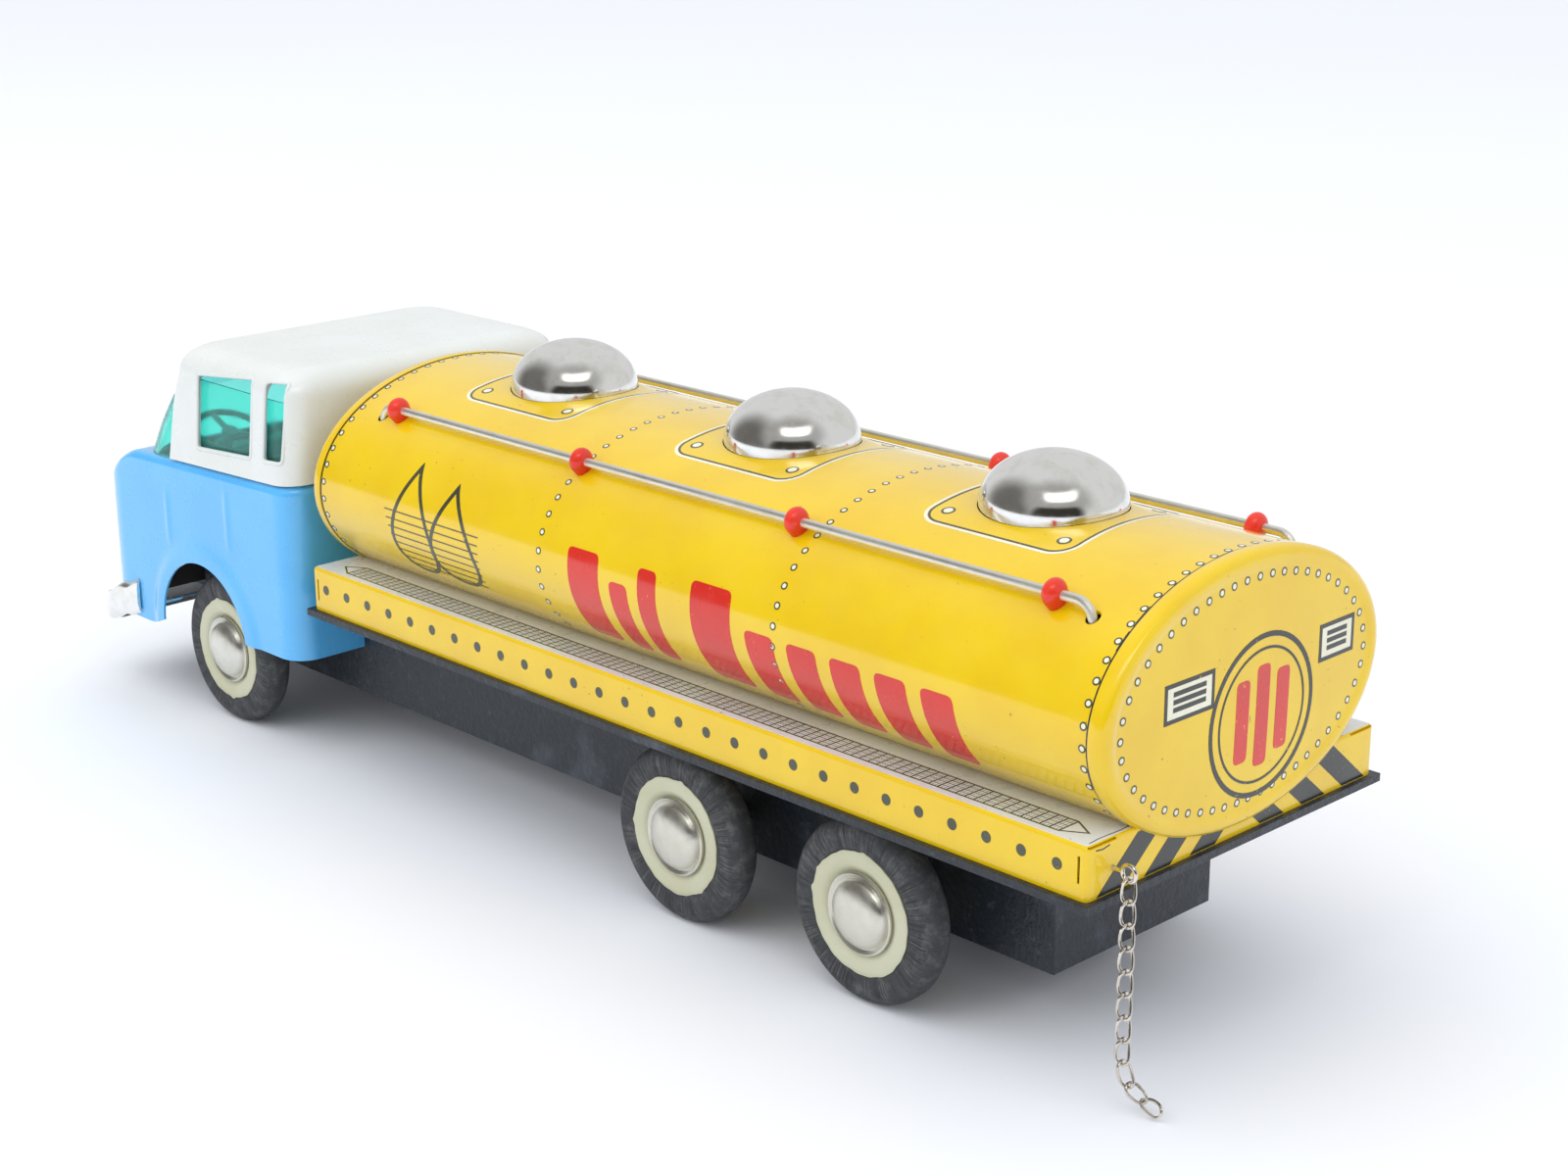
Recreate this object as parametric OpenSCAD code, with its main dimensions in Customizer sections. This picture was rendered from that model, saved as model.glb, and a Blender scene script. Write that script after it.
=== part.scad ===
// Tin toy tanker truck with a friction drive.
// +X points forward, to the cab, +Y to the truck's left and +Z up. The origin is on the floor,
// under the middle of the whole length. All lengths are millimetres.

/* [Bed] */
// Front edge of the yellow bed
bed_front = 77; // [76.6:0.1:77.2]
// Rear edge of the yellow bed
bed_rear = -176.5; // [-176.8:0.1:-176.2]
// Width of the yellow bed
bed_w = 94; // [92:0.5:95]
// Height of the deck's top above the floor
deck_z = 55.2; // [55:0.1:56]
// Height of the black flange's top, where the bed stands
flange_z = 44; // [43.8:0.1:44.4]
// Thickness of the tin sheet
tin = 0.5; // [0.4:0.1:0.6]

/* [Chassis] */
// Thickness of the rolled edge around the flange
edge_h = 1.8; // [1.4:0.1:2.2]
// How far the flange stands out past the bed
edge_out = 1.4; // [1:0.1:1.4]
// Half the outside width of the channel
channel_hw = 25.8; // [24:0.1:26.5]
// Underside of the channel above the floor
channel_z = 13.3; // [13:0.1:13.5]
// Rear end of the channel
channel_rear = -151.7; // [-153:0.1:-150]
// Front end of the channel, under the cab
channel_front = 165; // [160:0.5:170]

/* [Tank] */
// Half the width of the tank's oval
tank_a = 44.8; // [44:0.1:45.2]
// Half the height of the tank's oval
tank_b = 28.4; // [28:0.1:28.8]
// Height of the oval's middle above the floor
tank_z = 74.3; // [74:0.1:74.8]
// Outside radius of a dome
dome_r = 15.6; // [14:0.1:16]
// Height of the domes' tops above the floor
dome_top = 114; // [112:0.1:115]
// Place of the middle dome
dome_mid_x = -49.8; // [-52:0.1:-48]
// Distance between two domes
dome_pitch = 77.1; // [75:0.1:78]

/* [Rails] */
// Distance of a rail from the truck's middle
rail_y = 32.2; // [31.8:0.1:32.6]
// Height of a rail's middle above the floor
rail_z = 96.8; // [96.5:0.1:97.2]
// Diameter of the rail wire
rail_d = 2; // [1.6:0.1:2.2]
// Place of the foremost post
post_front_x = 56.7; // [55:0.1:58]
// Distance between two posts
post_pitch = 70.4; // [69:0.1:71]

/* [Cab] */
// Back of the cab
cab_rear = 86.6; // [86:0.1:87.5]
// Front of the cab
cab_front = 183.5; // [182:0.1:184]
// Half the width of the cab
cab_hw = 47; // [46.5:0.1:47.4]
// Height of the belt line at the back of the cab
belt_rear_z = 73; // [72.5:0.1:73.5]
// Height of the belt line at the windscreen's foot
belt_front_z = 69.8; // [69.5:0.1:70.5]
// Height of the roof above the floor
roof_z = 102; // [101:0.1:103]
// Radius of a wheel arch
arch_r = 20.7; // [20:0.1:21.5]

/* [Wheels] */
// Outside radius of a tyre
tyre_r = 20.5; // [20.4:0.1:21]
// Width of a tyre
tyre_w = 7.8; // [7:0.1:8.5]
// Distance of a tyre's outer face from the truck's middle
wheel_face_y = 44; // [43.5:0.1:44.2]
// Radius of the pale wheel disc
disc_r = 14.1; // [13.5:0.1:14.5]
// Radius of a hubcap
cap_r = 9.1; // [8.5:0.1:9.5]
// Place of the front axle
axle_front_x = 125.5; // [124:0.1:127]
// Place of the middle axle
axle_mid_x = -56.8; // [-58:0.1:-56]
// Place of the rear axle, which the friction drive turns
axle_rear_x = -114.2; // [-115:0.1:-113]
// Diameter of an axle
axle_d = 3; // [2.6:0.1:3]

/* [Friction drive] */
// Gear module of both stages
gear_m = 0.5; // [0.5]
// Teeth of the two large gears
big_teeth = 24; // [24]
// Teeth of the two pinions
small_teeth = 10; // [10]
// Radius of the flywheel
fly_r = 10.5; // [9:0.1:10.8]

/* [Chain] */
// Diameter of the chain's wire
link_wire = 0.7; // [0.6:0.05:0.75]
// Outside width of a link
link_w = 3.3; // [3.2:0.1:3.5]
// Links in the chain
links = 11; // [11]

/* [Hidden] */
$fn = 64;
eps = 0.01;
gap = 0.05;

// Axles and their names
AXLES = [["front", axle_front_x], ["middle", axle_mid_x], ["rear", axle_rear_x]];

// Bed and flange
bed_hw = bed_w / 2;
flange_hw = bed_hw + edge_out;
flange_front = bed_front + edge_out;
flange_rear = bed_rear - edge_out;

// Wheel wells in the flange, clear of the tyres all round
well_in = 29;
well_out = 45.6;
well_gap = 3.2;
well_front = axle_mid_x + tyre_r + well_gap;
well_rear = axle_rear_x - tyre_r - well_gap;

// Friction drive: the shafts lie on one line of centres up from the rear axle, then forward
mesh_gap = 0.06;
centre_gap = gear_m * (big_teeth + small_teeth) / 2 + mesh_gap;
lay_angle = 60;
fly_angle = 4;
axle_z = tyre_r;
lay_x = axle_rear_x + centre_gap * cos(lay_angle);
lay_z = axle_z + centre_gap * sin(lay_angle);
fly_x = lay_x + centre_gap * cos(fly_angle);
fly_z = lay_z + centre_gap * sin(fly_angle);
shaft_r = 1;
plate_y = 9;
plate_t = 1;
stage1_y = -6;
stage2_y = 2;
gear_w = 3;

// Rails: their ends past the posts, and the lean of the tank's surface under them
bend_r = 4;
rail_hole_r = 1.6;
rail_front_x = post_front_x + 6.4;
rail_rear_x = post_front_x - 3 * post_pitch - 9.6;
post_pin_r = 1.1;
post_h = 5;
surface_z = tank_z + tank_b * sqrt(1 - pow(rail_y / tank_a, 2));
lean = atan(tank_b * tank_b * rail_y / (tank_a * tank_a * (surface_z - tank_z)));

// Cab: corner radii in plan, the windscreen's foot, the lower edges and the wheel arch
cab_sheet = 0.6;
rear_corner = 7;
front_corner = 13;
screen_x = 166;
lower_rear_z = 26.3;
lower_front_z = 21.3;
arch_x = 130.4;
arch_z = 23.5;
nose_x = 162;
nose_top_z = 55;

// Wheels: bore and hub of the wheel, bore of the tyre
hub_bore_r = axle_d / 2;
hub_r = 4.5;
hub_in = 27.2;
tyre_bore_r = 9.6;

// Chain: the points where its links meet, from the hook down to the floor and along it
chain_x = -180.4;
chain_y = 39.4;
hook_z = 49;
hang_links = 8;
link_pitch = 4.8;
eye_r = 1.6;
hook_wire = 0.9;
link_play = 0.1;
link_half = (link_wire + link_play) / 2;
first_z = hook_z - eye_r + (hook_wire + link_wire) / 2 + link_play - link_half;
CHAIN = concat(
    [for (i = [0:hang_links]) [chain_x, chain_y, first_z - i * link_pitch]],
    [[-182, 39.1, 5.1], [-185.1, 38.1, 2.7], [-189.26, 38.6, 1.8]]);

// ---------- helpers ----------

// Box between two corners
module block(low, high) {
    translate(low) cube(high - low);
}

// Cylinder along Y between two places, at a point of the side view
module bar_y(x, z, r, y0, y1) {
    translate([x, y1, z]) rotate([90, 0, 0]) cylinder(r = r, h = y1 - y0);
}

// Plan outline with round corners, its own radius at each end
module plan(x0, x1, hw, r_rear, r_front) {
    translate([x0 + r_rear, -hw]) square([x1 - x0 - r_rear - r_front, 2 * hw]);
    translate([x0, r_rear - hw]) square([r_rear + eps, 2 * (hw - r_rear)]);
    translate([x1 - r_front - eps, r_front - hw]) square([r_front + eps, 2 * (hw - r_front)]);
    for (s = [-1, 1]) {
        translate([x0 + r_rear, s * (hw - r_rear)]) circle(r = r_rear);
        translate([x1 - r_front, s * (hw - r_front)]) circle(r = r_front);
    }
}

// Points of an oval about the tank's middle, as the front view shows it
function oval(a, b, n = 120) =
    [for (i = [0:n - 1]) [a * cos(360 * i / n), tank_z + b * sin(360 * i / n)]];

// Oval slab along X; `grow` makes the oval larger all round
module oval_slab(x0, x1, grow = 0) {
    translate([x0, 0, 0]) rotate([90, 0, 90])
        linear_extrude(x1 - x0) polygon(oval(tank_a + grow, tank_b + grow));
}

// Solid of a side-view outline, across the given half width
module side_solid(points, hw) {
    translate([0, hw, 0]) rotate([90, 0, 0]) linear_extrude(2 * hw) polygon(points);
}

// Points of an arc in the side view
function arc(cx, cz, r, a0, a1, n = 10) =
    [for (i = [0:n]) [cx + r * cos(a0 + (a1 - a0) * i / n), cz + r * sin(a0 + (a1 - a0) * i / n)]];

// ---------- chassis and bed ----------

// Plan of the flange, with the two wheel wells cut out
module flange_plan() {
    difference() {
        translate([flange_rear, -flange_hw]) square([flange_front - flange_rear, 2 * flange_hw]);
        for (s = [-1, 1])
            translate([well_rear, s > 0 ? well_in : -well_out])
                square([well_front - well_rear, well_out - well_in]);
    }
}

// Black tray: flange with a rolled edge, deep channel, floor plate under the cab
module chassis() {
    edge_w = 1.5;
    lip_z = flange_z - tin;
    rim_z = flange_z - edge_h;
    color("#26282e") difference() {
        union() {
            translate([0, 0, lip_z]) linear_extrude(tin) flange_plan();
            difference() {
                block([flange_rear, -flange_hw, rim_z], [flange_front, flange_hw, flange_z]);
                block([flange_rear + edge_w, edge_w - flange_hw, rim_z - 1],
                    [flange_front - edge_w, flange_hw - edge_w, flange_z + 1]);
            }
            block([channel_rear, -channel_hw, channel_z], [channel_front, channel_hw, flange_z]);
        }
        block([channel_rear + tin, tin - channel_hw, channel_z + tin],
            [flange_front, channel_hw - tin, flange_z + 1]);
        block([flange_front - eps, tin - channel_hw, channel_z + tin],
            [channel_front - tin, channel_hw - tin, flange_z - tin]);
        for (a = AXLES)
            bar_y(a[1], axle_z, axle_d / 2 + gap, -channel_hw - 1, channel_hw + 1);
    }
}

// Yellow deck with its four aprons and the hole for the chain's hook
module bed() {
    hole_r = 1.3;
    color("gold") difference() {
        block([bed_rear, -bed_hw, flange_z], [bed_front, bed_hw, deck_z]);
        block([bed_rear + tin, tin - bed_hw, flange_z - 1],
            [bed_front - tin, bed_hw - tin, deck_z - tin]);
        translate([bed_rear - 1, chain_y, hook_z]) rotate([0, 90, 0])
            cylinder(r = hole_r, h = tin + 2);
    }
}

// ---------- tank ----------

// Yellow oval sheet standing on the deck, with holes for the domes and the rails' ends
module tank_shell() {
    color("gold") difference() {
        oval_slab(bed_rear, bed_front);
        oval_slab(bed_rear - 1, bed_front + 1, -tin);
        block([bed_rear - 2, -60, 40], [bed_front + 2, 60, deck_z]);
        for (i = [-1:1])
            translate([dome_mid_x + i * dome_pitch, 0, tank_z]) cylinder(r = dome_r, h = 60);
        for (s = [-1, 1], x = [rail_front_x, rail_rear_x])
            translate([x, s * rail_y, tank_z]) cylinder(r = rail_hole_r, h = 40);
        for (s = [-1, 1], i = [0:3])
            post_place(s, i) translate([0, 0, -4]) cylinder(r = post_pin_r, h = 8);
    }
}

// Pressed end of the tank: a flat oval with a rolled rim
module tank_cap(x, dir) {
    rim = 1.6;
    color("gold") translate([x, 0, 0]) mirror([dir < 0 ? 1 : 0, 0, 0]) {
        oval_slab(0, tin);
        difference() {
            oval_slab(tin - eps, 1, 0);
            oval_slab(0, 2, -rim);
        }
        // the rim turned over the shell, above the deck
        difference() {
            oval_slab(-1.6, tin, 0.5);
            oval_slab(-2, 0, 0);
            oval_slab(-1, 1, 0);
            block([-3, -60, 30], [3, 60, deck_z]);
        }
    }
}

// Chromed dome with a straight skirt through the tank's sheet
module dome(i) {
    wall = 0.6;
    skirt_z = 98;
    cap_h = 11;
    steps = 14;
    outer = [for (k = [0:steps]) [dome_r * cos(90 * k / steps),
        dome_top - cap_h + cap_h * sin(90 * k / steps)]];
    inner = [for (k = [steps:-1:0]) [(dome_r - wall) * cos(90 * k / steps),
        dome_top - cap_h + (cap_h - wall) * sin(90 * k / steps)]];
    color("silver") translate([dome_mid_x + i * dome_pitch, 0, 0])
        rotate_extrude() polygon(concat([[dome_r - wall, skirt_z], [dome_r, skirt_z]], outer,
            inner));
}

// ---------- rails ----------

// Wire with both ends turned down into the tank
module rail(s) {
    leg = 4;
    r = rail_d / 2;
    color("silver") translate([0, s * rail_y, rail_z]) {
        translate([rail_rear_x + bend_r, 0, 0]) rotate([0, 90, 0])
            cylinder(r = r, h = rail_front_x - rail_rear_x - 2 * bend_r);
        for (e = [[rail_front_x - bend_r, 0], [rail_rear_x + bend_r, 1]])
            translate([e[0], 0, -bend_r]) mirror([e[1], 0, 0]) {
                rotate([90, 0, 0]) rotate_extrude(angle = 90) translate([bend_r, 0]) circle(r = r);
                translate([bend_r, 0, -leg]) cylinder(r = r, h = leg);
            }
    }
}

// Puts a post's foot on the tank's surface, standing square to it
module post_place(s, i) {
    translate([post_front_x - i * post_pitch, s * rail_y, surface_z]) rotate([-s * lean, 0, 0])
        children();
}

// Four red plastic posts of one side, which the rail runs through
module rail_posts(s) {
    foot = 0.35;
    color("tomato") difference() {
        for (i = [0:3])
            post_place(s, i) rotate_extrude() polygon([[0, -2.5], [post_pin_r, -2.5],
                [post_pin_r, foot], [2.1, foot], [2.5, 1.2], [2.75, 2.2], [2.7, 2.9], [2.3, 3.9],
                [1.2, post_h - 0.3], [0, post_h]]);
        translate([rail_rear_x, s * rail_y, rail_z]) rotate([0, 90, 0])
            cylinder(r = rail_d / 2 + 0.02, h = rail_front_x - rail_rear_x);
    }
}

// ---------- cab ----------

function belt_z(x) =
    belt_rear_z + (belt_front_z - belt_rear_z) * (x - cab_rear) / (screen_x - cab_rear);

// Height of the nose, which falls away in front of the windscreen
function nose_z(x) =
    belt_front_z - (belt_front_z - nose_top_z) * pow((x - nose_x) / (cab_front - nose_x), 1.6);

// Side view of the blue body, moved in by `in`
function cab_side(in) = concat(
    [[cab_rear - 1, lower_rear_z - 2 * in], [arch_x, lower_rear_z - 2 * in],
        [arch_x + arch_r, lower_front_z + 2 - 2 * in], [cab_front - 22, lower_front_z - 2 * in],
        [cab_front + 1, lower_front_z - 2 * in]],
    [[cab_front + 1, nose_top_z - in]],
    [for (k = [8:-1:1]) let (x = nose_x + (cab_front - nose_x) * k / 8) [x, nose_z(x) - in]],
    [[nose_x, belt_z(nose_x) - in], [cab_rear - 1, belt_z(cab_rear - 1) - in]]);

// Solid of the blue body, moved in by `in`
module cab_solid(in) {
    intersection() {
        linear_extrude(120)
            plan(cab_rear + in, cab_front - in, cab_hw - in, rear_corner - in, front_corner - in);
        side_solid(cab_side(in), 60);
    }
}

// Blue lower cab: one shell with wheel arches, open below and under the white roof
module cab_body() {
    lip = 3;
    ring_w = 4;
    ring_out = 0.8;
    color("deepskyblue") difference() {
        union() {
            cab_solid(0);
            intersection() {
                bar_y(arch_x, arch_z, arch_r + ring_w, -cab_hw - ring_out, cab_hw + ring_out);
                block([arch_x - 40, -60, lower_rear_z + 1], [arch_x + 40, 60, 60]);
            }
        }
        cab_solid(cab_sheet);
        linear_extrude(120) plan(cab_rear + lip, screen_x - lip, cab_hw - lip, rear_corner - lip,
            front_corner - lip);
        bar_y(arch_x, arch_z, arch_r, -60, 60);
        block([arch_x - arch_r, -60, 0], [arch_x + arch_r, 60, arch_z]);
        block([cab_rear - 1, -channel_hw, 0], [cab_rear + 5, channel_hw, flange_z]);
    }
}

// Outline solid of the white roof, moved in by `in`
module roof_solid(in) {
    foot_x = 155;
    brow_x = 143.5;
    corner = 6;
    hull() {
        translate([0, 0, belt_front_z - 2]) linear_extrude(1)
            plan(cab_rear + in, foot_x - in, cab_hw - in, rear_corner - in / 2, corner - in, $fn = 32);
        translate([0, 0, 94]) linear_extrude(1)
            plan(cab_rear + 0.4 + in, brow_x - in, cab_hw - 2.7 - in, rear_corner - in / 2,
                corner - in, $fn = 32);
        translate([0, 0, roof_z - 3 - in]) linear_extrude(1)
            plan(cab_rear + 2 + in, brow_x - 0.8 - in, cab_hw - 4.6 - in, rear_corner - in / 2,
                corner - in, $fn = 32);
        translate([0, 0, roof_z - 1 - in]) linear_extrude(1)
            plan(cab_rear + 6 + in, brow_x - 5 - in, cab_hw - 10 - in, rear_corner - in / 2,
                corner - in, $fn = 32);
    }
}

// White plastic upper cab with two windows a side and an open front
module cab_roof() {
    wall = 1.2;
    pillar_foot_x = 144.7;
    pillar_top_x = 141;
    screen_top = 92.5;
    color("white") difference() {
        roof_solid(0);
        roof_solid(wall);
        side_solid([[cab_rear - 2, 40], [screen_x, 40], [screen_x, belt_z(screen_x)],
            [cab_rear - 2, belt_z(cab_rear - 2)]], 60);
        block([cab_rear + 5, wall - cab_hw + 4, 60], [screen_x, cab_hw - wall - 4, 74]);
        side_solid([[104, 78.1], [130, 76.3], [130, 96.2], [104, 98.8]], 60);
        side_solid([[90.6, 78.9], [98.6, 78.4], [98.6, 99], [90.6, 99.4]], 60);
        side_solid([[pillar_foot_x, 60], [screen_x, 60], [screen_x, screen_top],
            [pillar_top_x, screen_top]], 60);
    }
}

// Solid of the tinted glazing, moved in by `in`
module glass_solid(in) {
    foot = [belt_front_z - 1, 1.5, screen_x, 1.5, 14];
    bulge = [86.6, 1.8, 151, 3.4, 8];
    head = [93.4, 1.9, 140.4, 4.2, 10];
    // Each level: height, room at the rear, front, room at the sides and front corner radius
    hull() for (level = [foot, bulge, head])
        translate([0, 0, level[0] - in]) linear_extrude(1)
            plan(cab_rear + level[1] + in, level[2] - in, cab_hw - level[3] - in,
                rear_corner - in, level[4] - in, $fn = 32);
}

// Tinted plastic tub that glazes all the windows
module cab_glazing() {
    wall = 0.8;
    color("turquoise") difference() {
        glass_solid(0);
        glass_solid(wall);
        block([cab_rear + 4, -41, 60], [screen_x - 5, 41, 80]);
        side_solid([[cab_rear - 2, 40], [screen_x + 2, 40], [screen_x + 2, belt_z(screen_x)],
            [cab_rear - 2, belt_z(cab_rear - 2)]], 60);
    }
}

// Bench seat on the floor plate
module seat() {
    hw = 36;
    color("saddlebrown") side_solid([[90.5, flange_z], [112, flange_z], [112, 54], [110, 56],
        [98, 55], [96.5, 78], [95, 79.5], [90.5, 79.5]], hw);
}

// Dashboard across the cab behind the windscreen
module dashboard() {
    hw = 40;
    foot_hw = 20;
    color("teal") {
        side_solid([[152, 63], [158, 60], [160, 60], [160, 66.5], [156, 68.5], [152, 68]], hw);
        block([154, -foot_hw, flange_z], [160, foot_hw, 61.5]);
    }
}

// Steering wheel and column, one grey moulding
module steering_wheel() {
    rim_r = 9.5;
    wire_r = 0.9;
    tilt = -24;
    color("darkgray") translate([143.5, 27, 75]) rotate([0, tilt, 0]) {
        rotate_extrude() translate([rim_r, 0]) circle(r = wire_r, $fn = 24);
        cylinder(r = 2.2, h = 1.6, center = true);
        for (a = [0:120:240])
            rotate([0, 0, a]) translate([0, -0.6, -0.5]) cube([rim_r, 1.2, 1]);
        translate([0, 0, -9]) cylinder(r = 1.4, h = 9);
    }
}

// Chromed bumper: a bar whose ends wrap round the corners and rise to the rear
module bumper() {
    out = 6.5;
    wall = 0.6;
    flange = 3.6;
    end_x = 164;
    corner = 11;
    bracket_y = 14;
    bracket_z = 19.5;
    module outline(in) {
        linear_extrude(60) plan(130, cab_front + out - in, cab_hw + 1.3 - in, 5, corner - in);
    }
    module face(in) {
        side_solid([[150, 26.5 + in], [171, 20.5 + in], [184, 16.5 + in], [192, 14.5 + in],
            [192, 23.5 - in], [184, 24.8 - in], [171, 30.3 - in], [150, 36.6 - in]], 60);
    }
    color("silver") {
        difference() {
            intersection() {
                outline(0);
                face(0);
            }
            intersection() {
                outline(wall);
                face(wall);
            }
            outline(flange);
            linear_extrude(60) plan(130, cab_front, cab_hw, 5, front_corner);
            block([100, -60, 0], [end_x, 60, 60]);
        }
        for (s = [-1, 1])
            block([channel_front, s * bracket_y - 3, bracket_z],
                [cab_front + out - wall, s * bracket_y + 3, bracket_z + 1]);
    }
}

// Stamped grille in the middle of the cab's front
module grille() {
    hw = 22;
    z0 = 33;
    z1 = 48;
    bars = 4;
    color("silver") difference() {
        block([cab_front, -hw, z0], [cab_front + 1.2, hw, z1]);
        for (i = [0:bars - 1])
            block([cab_front + 0.4, 2 - hw, z0 + 2 + i * 3], [cab_front + 2, hw - 2, z0 + 3.8 + i * 3]);
    }
}

// Two round headlamps
module headlamps() {
    color("whitesmoke") for (s = [-1, 1])
        translate([cab_front, s * 29, 40]) rotate([0, 90, 0]) rotate_extrude()
            polygon([[0, 0], [5.5, 0], [5.5, 1.2], [4.6, 1.6], [4.2, 1.2], [3.2, 2.2], [1.6, 2.8],
                [0, 3]]);
}

// ---------- wheels ----------

// Stands a lathed wheel piece on its side of an axle, outer face outwards
module wheel_place(x, s) {
    translate([x, s * wheel_face_y, axle_z]) rotate([-s * 90, 0, 0]) children();
}

// Steel axle
module axle(x) {
    color("gray") bar_y(x, axle_z, axle_d / 2, 1.5 - wheel_face_y, wheel_face_y - 1.5);
}

// Rubber tyre with round shoulders, seated in the wheel
module tyre(x, s) {
    shoulder = 3.2;
    color("#3a3a3c") wheel_place(x, s) rotate_extrude($fn = 96)
        polygon(concat(
            [[tyre_bore_r, -tyre_w + 0.6], [tyre_bore_r, -1.4], [disc_r, -1.4], [disc_r + 0.2, -0.2]],
            arc(tyre_r - shoulder, -shoulder, shoulder, 90, 0, 6),
            arc(tyre_r - shoulder, -tyre_w + shoulder, shoulder, 0, -90, 6)));
}

// Pale plastic wheel: disc outside the tyre, drum inside it, hub on the axle
module wheel(x, s) {
    color("palegoldenrod") wheel_place(x, s) rotate_extrude()
        polygon([[hub_bore_r, hub_in - wheel_face_y], [hub_r, hub_in - wheel_face_y],
            [hub_r, -tyre_w + 1.5], [tyre_bore_r, -tyre_w + 0.6], [tyre_bore_r, -1.4],
            [disc_r, -1.4], [disc_r, -0.4], [disc_r - 0.6, 0], [cap_r, 0], [cap_r, -0.9],
            [hub_bore_r, -0.9]]);
}

// Domed metal hubcap
module hubcap(x, s) {
    color("silver") wheel_place(x, s) rotate_extrude()
        polygon(concat([[0, -0.9], [cap_r, -0.9], [cap_r, 0.5], [cap_r - 0.6, 0.7],
            [cap_r - 1.6, 0.2], [cap_r - 2.2, 0.2]],
            [for (k = [1:8]) [(cap_r - 2.2) * cos(90 * k / 8), 0.2 + 2.2 * sin(90 * k / 8)]]));
}

// ---------- friction drive ----------

// Outline of a spur gear; each flank is an involute of the base circle
module gear_outline(teeth) {
    pressure = 20;
    r = gear_m * teeth / 2;
    base = r * cos(pressure);
    top = r + 0.85 * gear_m;
    root = r - 1.2 * gear_m;
    flank_steps = 4;
    function inv(a) = tan(a) * 180 / PI - a;
    // half the tooth's angle at the pitch circle, a little thin for running play
    half = 90 / teeth - 2.2 * gear_m / r;
    function half_at(q) = half + inv(pressure) - inv(acos(min(1, base / q)));
    start = max(base, root);
    side = [for (k = [0:flank_steps]) let (q = start + (top - start) * k / flank_steps)
        [q, half_at(q)]];
    polygon([for (t = [0:teeth - 1]) let (mid = 360 * t / teeth) each concat(
        [[root * cos(mid - half_at(start) - 0.5), root * sin(mid - half_at(start) - 0.5)]],
        [for (p = side) [p[0] * cos(mid - p[1]), p[0] * sin(mid - p[1])]],
        [for (k = [flank_steps:-1:0]) let (p = side[k])
            [p[0] * cos(mid + p[1]), p[0] * sin(mid + p[1])]],
        [[root * cos(mid + half_at(start) + 0.5), root * sin(mid + half_at(start) + 0.5)]])]);
}

// Gear across the truck, turned by `turn` degrees about its shaft
module gear(x, z, teeth, bore_r, y0, w, turn) {
    translate([x, y0 + w, z]) rotate([90, 0, 0]) rotate([0, 0, turn]) linear_extrude(w)
        difference() {
            gear_outline(teeth);
            circle(r = bore_r);
        }
}

// A large gear has a tooth on its line of centres, and the pinion facing it a gap
module drive_gear() {
    color("goldenrod") gear(axle_rear_x, axle_z, big_teeth, axle_d / 2, stage1_y, gear_w, lay_angle);
}

module layshaft() {
    color("gray") {
        bar_y(lay_x, lay_z, shaft_r, -plate_y - plate_t - 0.5, plate_y + plate_t + 0.5);
        gear(lay_x, lay_z, small_teeth, shaft_r - eps, stage1_y - 0.5, gear_w + 1,
            180 + lay_angle + 180 / small_teeth);
    }
}

module layshaft_gear() {
    color("goldenrod") gear(lay_x, lay_z, big_teeth, shaft_r, stage2_y, gear_w, fly_angle);
}

module flywheel_shaft() {
    color("gray") {
        bar_y(fly_x, fly_z, shaft_r, -plate_y - plate_t - 0.5, 18.5);
        gear(fly_x, fly_z, small_teeth, shaft_r - eps, stage2_y - 0.5, gear_w + 1,
            180 + fly_angle + 180 / small_teeth);
    }
}

module flywheel() {
    color("dimgray") translate([fly_x, 17.5, fly_z]) rotate([90, 0, 0]) rotate_extrude()
        polygon([[shaft_r, 0], [3, 0], [4, 1.2], [fly_r - 2, 1.2], [fly_r - 1.4, 0],
            [fly_r, 0], [fly_r, 6], [fly_r - 1.4, 6], [fly_r - 2, 4.8], [4, 4.8], [3, 6],
            [shaft_r, 6]]);
}

// Bracket over the gears: two side plates joined on top, standing on the channel's floor
module motor_frame() {
    x0 = axle_rear_x - 7;
    x1 = fly_x + 4;
    top = 40;
    floor_z = channel_z + tin;
    color("silver") difference() {
        union() {
            for (s = [-1, 1])
                block([x0, min(s * plate_y, s * (plate_y + plate_t)), floor_z],
                    [x1, max(s * plate_y, s * (plate_y + plate_t)), top]);
            block([x0, -plate_y - plate_t, top - plate_t], [x1, plate_y + plate_t, top]);
        }
        bar_y(axle_rear_x, axle_z, axle_d / 2 + gap, -20, 20);
        bar_y(lay_x, lay_z, shaft_r + gap, -20, 20);
        bar_y(fly_x, fly_z, shaft_r + gap, -20, 20);
    }
}

// ---------- chain ----------

// Wire hook: its leg runs through the bed's hole and turns up behind it, its eye carries the chain
module chain_hook() {
    r = hook_wire / 2;
    inner_x = bed_rear + tin + r + gap;
    stop_h = 3;
    color("silver") {
        translate([chain_x + eye_r, chain_y, hook_z]) rotate([0, 90, 0])
            cylinder(r = r, h = inner_x - chain_x - eye_r);
        translate([inner_x, chain_y, hook_z]) sphere(r = r, $fn = 24);
        translate([inner_x, chain_y, hook_z]) cylinder(r = r, h = stop_h);
        translate([chain_x, chain_y, hook_z]) rotate([90, 0, 0])
            rotate_extrude() translate([eye_r, 0]) circle(r = r, $fn = 24);
    }
}

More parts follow.
